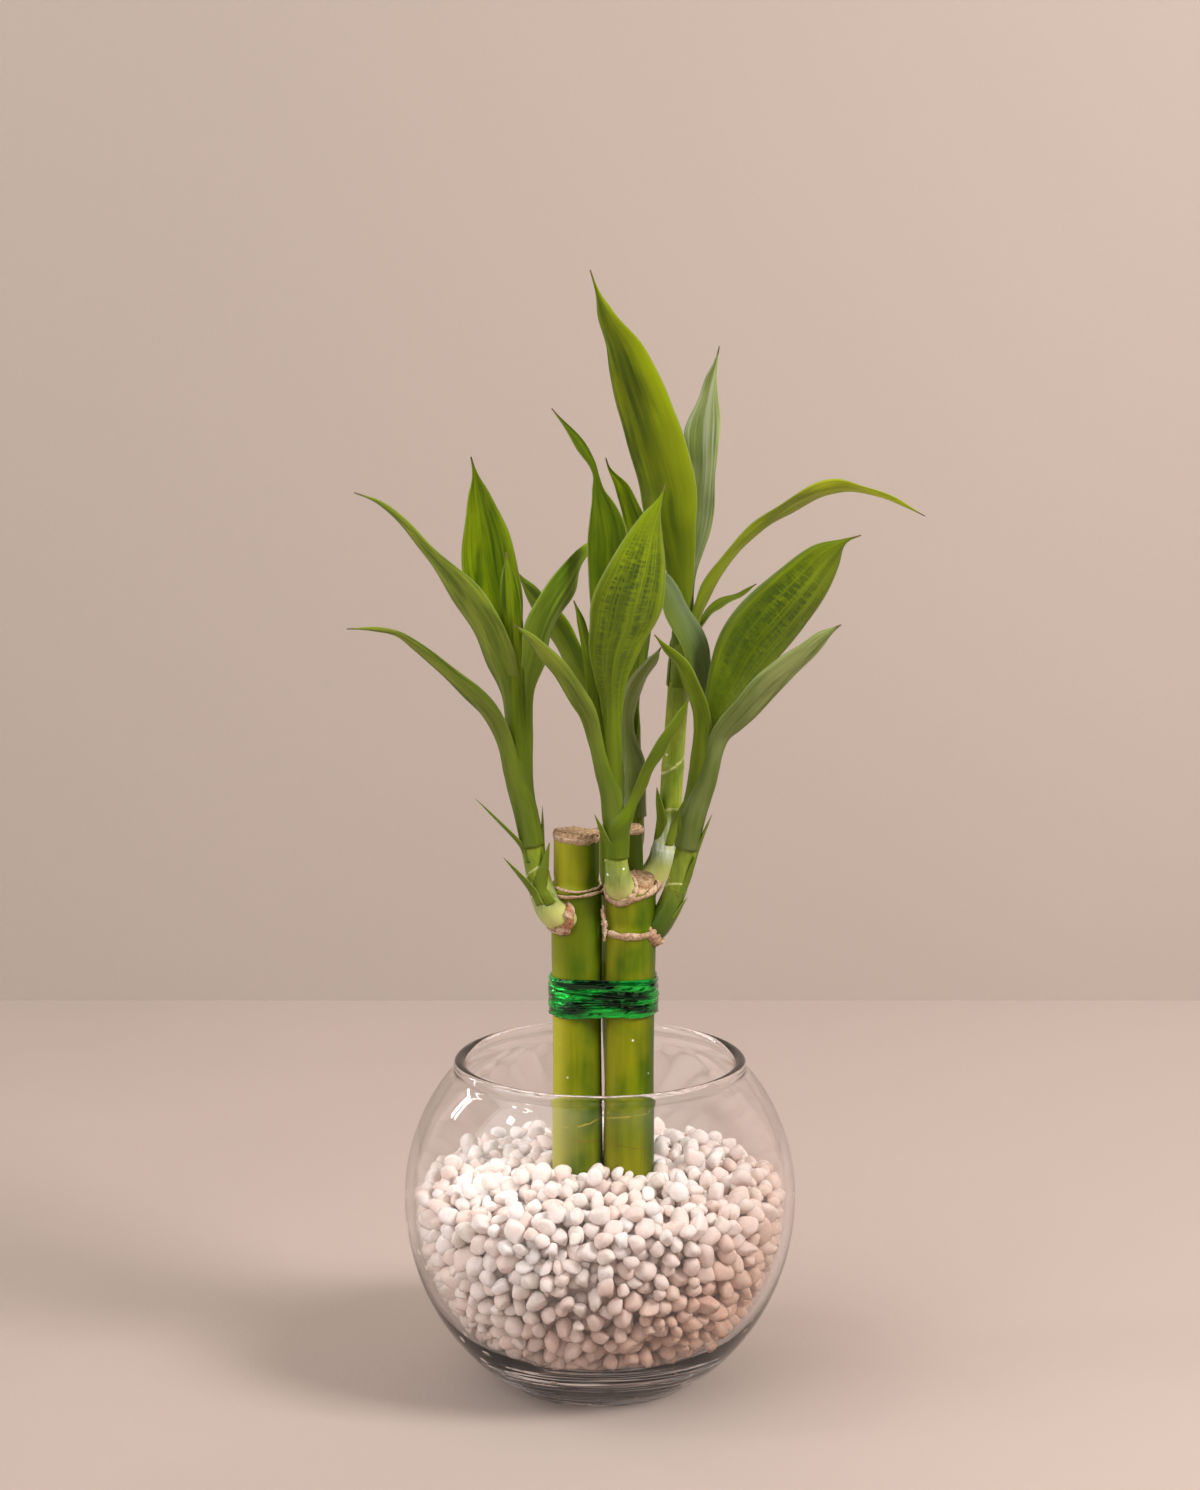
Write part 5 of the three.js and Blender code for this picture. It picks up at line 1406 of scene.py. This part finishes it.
# %% Leaves as measured
LEAVES = {  # height on the stem, bearing, roll, and the rib as rows of x, y, z and width
    "a_spear": (160, 280, 0, [
        (-21, -10.5, 185, 4), (-21.6, -10.5, 196, 5), (-22.4, -10, 206, 5.5), (-23, -10, 214, 3.5),
        (-23.6, -9, 220, 1),
    ]),
    "a_back": (158, 95, 0, [
        (-22.5, -6, 185.5, 5.5), (-24.5, -3, 196, 9.5), (-26.5, -1, 206.5, 14),
        (-28, 0.5, 215, 14), (-29, 1.5, 223, 12), (-30.5, 1.5, 231.5, 7), (-31.5, 1, 238, 2.5),
        (-32.5, 0, 243, 1),
    ]),
    "a_right": (155, 350, -40, [
        (-18, -8, 185, 5.5), (-16.5, -8.5, 193, 8), (-15, -8, 199.5, 10), (-12, -7, 206.5, 11),
        (-8.5, -5, 212, 10), (-5.5, -2, 217, 6.5), (-1.5, 2, 221, 2.5), (0, 6, 223, 1),
    ]),
    "a_left": (152, 196, 40, [
        (-23, -9, 184, 6.5), (-25.5, -10, 193, 9.5), (-28, -10.5, 200, 10.5),
        (-32, -11.5, 207, 10), (-37.5, -12, 214.5, 7.5), (-44, -12.5, 222, 4),
        (-49, -13, 228, 2.5), (-55, -13.5, 233, 1.8), (-61, -14, 235.5, 1),
    ]),
    "a_low": (148, 215, 35, [
        (-24.5, -11.5, 173, 5), (-27, -14, 179, 5.5), (-31.5, -17.5, 185, 5.5),
        (-38.5, -20.5, 192, 4.5), (-45.5, -23.5, 198.5, 3), (-50, -26.5, 202, 2),
        (-56, -29, 203.5, 1.5), (-62, -32, 204, 1),
    ]),
    "b_back": (160, 100, 0, [
        (2.5, -12, 182, 4.5), (2, -10, 194.5, 6.5), (2, -8.5, 210, 9.5), (2, -8, 221, 10.5),
        (1.5, -7.5, 226.5, 9.5), (0.5, -7, 231, 7), (-0.5, -7, 235, 3.5), (-1, -7, 239, 1.6),
        (-2, -7, 242, 2), (-4.5, -7.5, 246, 3), (-7, -8, 249.5, 2.5), (-12, -10, 256, 1),
    ]),
    "b_front": (157, 285, 0, [
        (3.2, -18.5, 182.5, 5.5), (3, -20.5, 190.5, 9), (4, -22.5, 198, 14), (6, -24, 204.5, 18),
        (7.5, -25.5, 211, 19), (9.5, -26.5, 218, 16.5), (11.5, -26.5, 226, 10.5),
        (13.5, -26, 232, 5), (15, -25.5, 235.5, 2), (16, -24, 238.5, 1),
    ]),
    "b_thin": (158, 200, 50, [
        (-1.5, -17, 182.5, 3), (-2, -18, 188, 3), (-3, -19.5, 196, 3), (-5, -21, 205, 2),
        (-6.5, -21, 209.5, 1),
    ]),
    "b_left": (151, 230, 30, [
        (-1.5, -18, 174.5, 4), (-2.8, -20, 180, 4.5), (-5, -22.5, 184.5, 5), (-9, -25, 191.5, 5),
        (-13.5, -27.5, 197, 4.5), (-17, -30, 201.5, 2.5), (-21, -32, 205, 1),
    ]),
    "b_low": (143, 330, -20, [
        (8.7, -15.5, 157.5, 4), (11.5, -16.5, 164.5, 4.5), (15, -18, 171.5, 4.5),
        (19, -18, 178, 4), (22.5, -17, 184.5, 1),
    ]),
    "c_top": (193, 262, 0, [
        (20.5, 6, 211, 6.5), (19.5, 5.5, 220, 10), (18, 5, 227, 13.5), (17, 5, 234.5, 15),
        (15, 4.5, 242, 15.5), (13, 4, 249, 15.5), (10.5, 4, 256.5, 14.5), (8, 3.5, 263.5, 12.5),
        (5.5, 3.5, 270.5, 10), (1.5, 3.5, 278, 5.5), (-0.5, 4, 283.5, 1.8), (-2.5, 4, 289.5, 1),
    ]),
    "c_back": (191, 60, 0, [
        (23, 13, 210.5, 4), (24, 15.5, 216, 5), (25.5, 17, 223.5, 6.5), (26, 18.5, 230.5, 8.5),
        (26.5, 19.5, 238, 9.5), (26.5, 20, 245, 10), (27, 20.5, 251.5, 8.5), (28, 20, 257.5, 5.5),
        (29.5, 19, 264, 2), (30.5, 18, 269.5, 1),
    ]),
    "c_right": (188, 350, -30, [
        (25.5, 8, 203, 4.5), (27.5, 8.5, 207.5, 5), (34, 9.5, 217.5, 6), (39, 9.5, 222.5, 6.5),
        (44.5, 9, 227, 7), (50.5, 9, 231, 7.5), (56.5, 8, 233.5, 7.5), (62.5, 7.5, 234.5, 6.5),
        (68.5, 6.5, 233.5, 4.5), (74.5, 5.5, 231.5, 2.6), (82.5, 4, 227.5, 1),
    ]),
    "c_small": (187, 42, 0, [
        (26.5, 12, 199.5, 3), (29, 15, 202, 3.5), (32.5, 17, 204, 4), (36.5, 19, 205.5, 2.5),
        (40.5, 20, 208, 1),
    ]),
    "d_back": (158, 130, 0, [
        (26.5, -4, 180, 6), (25.5, -4.5, 186.5, 8), (24, -5, 193.5, 10.5), (21.5, -6, 200, 11),
        (18.5, -7, 206.5, 9.5), (15.5, -8, 213, 5.5), (13, -9, 218.5, 1),
    ]),
    "d_right": (155, 325, -50, [
        (29, -9.5, 177, 7), (31, -8.5, 183, 9.5), (34, -7.5, 189.5, 13.5), (38, -7.5, 196.5, 16.5),
        (44, -7, 203.5, 17.5), (50.5, -7, 211, 15), (56.5, -6.5, 218, 9.5), (61.5, -7, 222.5, 2.2),
        (65.5, -7, 224, 1),
    ]),
    "d_left": (152, 235, 0, [
        (25.5, -12.5, 178, 5), (24.5, -14.5, 183, 5.5), (22.5, -16.5, 188, 5.5),
        (20, -17.5, 193, 5), (16.5, -18, 197, 3.6), (13.5, -18, 200.5, 1),
    ]),
    "d_low": (148, 305, -25, [
        (30, -12, 172.5, 5.5), (32.5, -14, 176.5, 6.5), (36, -16, 181, 7.5), (40.5, -18, 186.5, 8),
        (45.5, -20, 191.5, 7.5), (51, -22, 196.5, 6.5), (55.5, -23.5, 201, 4), (59.5, -25, 204, 1),
    ]),
    "e_top": (162, 60, 0, [
        (8.5, 18, 178, 5), (9.5, 16.5, 188, 6.5), (11, 16, 203, 7.5), (11, 16, 212.5, 7.5),
        (10.5, 15.5, 221, 7), (8.5, 14.5, 226.5, 5.5), (6, 13.8, 233, 3.8), (2.5, 13, 238.5, 1.5),
        (1.5, 12, 241.5, 1),
    ]),
    "e_left": (156, 175, 55, [
        (2, 16, 171.5, 6), (-1, 16.5, 177, 7), (-4, 17, 182, 7.5), (-6.5, 17.5, 187.5, 8.5),
        (-10, 18.5, 194.5, 9), (-14.5, 19, 201, 8), (-18, 20, 206, 5.5), (-21.5, 21, 211, 1),
    ]),
    "e_right": (152, 300, 0, [
        (7.2, 11.5, 170, 4), (7.4, 9.5, 177.5, 4.5), (8.8, 6.5, 182.5, 5.5),
        (10.5, 3.5, 186.5, 5.5), (13, 0.5, 190.5, 4), (15.5, -3, 195, 1),
    ]),
}
LOOKS = {
    "a_left": "sheen", "a_right": "lively", "a_low": "sheen", "b_back": "dusky",
    "b_front": "mottled", "b_left": "sheen", "c_top": "golden", "c_back": "striped",
    "c_right": "bright", "d_back": "frosted", "d_right": "shadowed", "d_low": "polished",
    "e_right": "striped",
}
RIPPLES = {"c_back": 0.8, "d_low": 0.8, "a_back": 0.5, "c_right": 0.6}
print("leaves:", len(LEAVES))

# %% Grow the leaves
OUTER_TUBE, NESTED, CLASP_LONG, CLASP_LEAN = 3.0, 0.3, 8.0, 0.4
WRAP, OPEN = 168.0, 26.0
LEAF_STEPS, SLEEVE_OFF, SLEEVE_RISE, TIP_SLIM, TIP_CURL = 96, 0.45, 1.5, 0.65, 0.8


def grow_leaf(name, base, side, roll, rib, outer, seed):
    """One leaf: a sleeve round the stem near its neck, inside `outer` others, then the blade."""
    rng = np.random.default_rng(seed)
    angle = math.radians(side)
    outward = np.array((math.cos(angle), math.sin(angle), 0))
    shoot, (stem, _, _) = SHOOTS[name[0]], stem_lines[name[0]]
    tube = OUTER_TUBE if base > shoot["neck"] - 4 else shoot["radius"] + SLEEVE_OFF
    tube -= NESTED * outer
    foot = min(base, shoot["neck"] + SLEEVE_RISE * (outer - 1))
    rows = []
    free_at = base + CLASP_LONG
    for height in (foot, (foot + free_at) / 2, free_at):
        middle = stem[np.searchsorted(stem[:, 2], height)]
        lean = CLASP_LEAN * (height - foot) / max(free_at - foot, 1)
        rows.append((*(middle + outward * (tube + lean)), 2 * tube))
    line, run = even_steps(smooth_line([*rows, *rib]), LEAF_STEPS)
    share = run / run[-1]
    line[:, 3] *= 1 - TIP_SLIM * smoothstep(share, 0.9, 1.0)
    free = run[np.argmin(np.linalg.norm(line[:, :3] - rib[0][:3], axis=1))]
    opened = smoothstep(run, 0.3 * free, 1.2 * free)
    curl = TIP_CURL * smoothstep(share, 0.85, 1.0)
    fold = np.radians(WRAP + (OPEN - WRAP) * opened) + curl
    ripple, opens = RIPPLES.get(name, 0.35), (0.6 * free, 1.4 * free)
    mesh, tags = blade_mesh(line, run, outward, fold, opened, roll * opened, rng, ripple, opens)
    look = LEAF_LOOKS[LOOKS.get(name, "fresh")]
    piece = make_piece("blade_" + name, *mesh, look, "leaf", **tags)
    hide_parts("leaf_" + name)
    return piece


sleeves = {}  # how many sleeves of the same shoot lie outside a leaf's own
for name in reversed(LEAVES):
    sleeves[name] = sum(other[0] == name[0] for other in sleeves)
blades = [
    grow_leaf(name, *row, sleeves[name], 100 + number)
    for number, (name, row) in enumerate(LEAVES.items())
]
print("blades grown:", len(blades))


# %% Bracts on the stems
def grow_bract(letter, number, root, tip, width):
    """A short scale that clasps its stem at `root` and points at `tip`."""
    line, way, radius = stem_lines[letter]
    root, tip = np.array(root, float), np.array(tip, float)
    near = int(np.argmin(np.linalg.norm(line[:, :3] - root, axis=1)))
    low = max(near - 18, 0)
    outward = (tip - root) * (1, 1, 0)
    outward /= np.linalg.norm(outward)
    start = line[low, :3] + outward * (radius[low] - 0.3)
    hold = line[near, :3] + outward * (radius[near] + 0.1)
    half = (hold + tip) / 2 + UP * 0.4
    wide = 1.5 * radius[low]
    rows = [(*start, wide), (*hold, 0.8 * wide), (*half, width * 0.55), (*tip, 0.2)]
    rib, run = even_steps(smooth_line(rows), 36)
    opened = smoothstep(run / run[-1], 0.15, 0.8)
    fold = np.radians(50 - 20 * opened)
    rng = np.random.default_rng(400 + number)
    mesh, tags = blade_mesh(rib, run, outward, fold, 0, 0 * run, rng, 0.1, (6, 24), keel=0)
    return make_piece(f"bract_{letter}_{number}", *mesh, bract_look, "shoot", **tags)


bracts = [
    grow_bract(letter, number, *row)
    for letter, shoot in SHOOTS.items()
    for number, row in enumerate(shoot["bracts"])
]
print("bracts:", len(bracts))

# %% Print the sizes and finish
boxes = {"cad": cad_box, "visual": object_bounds()}
boxes = {name: [list(corner) for corner in box] for name, box in boxes.items()}
print("boxes:", boxes)
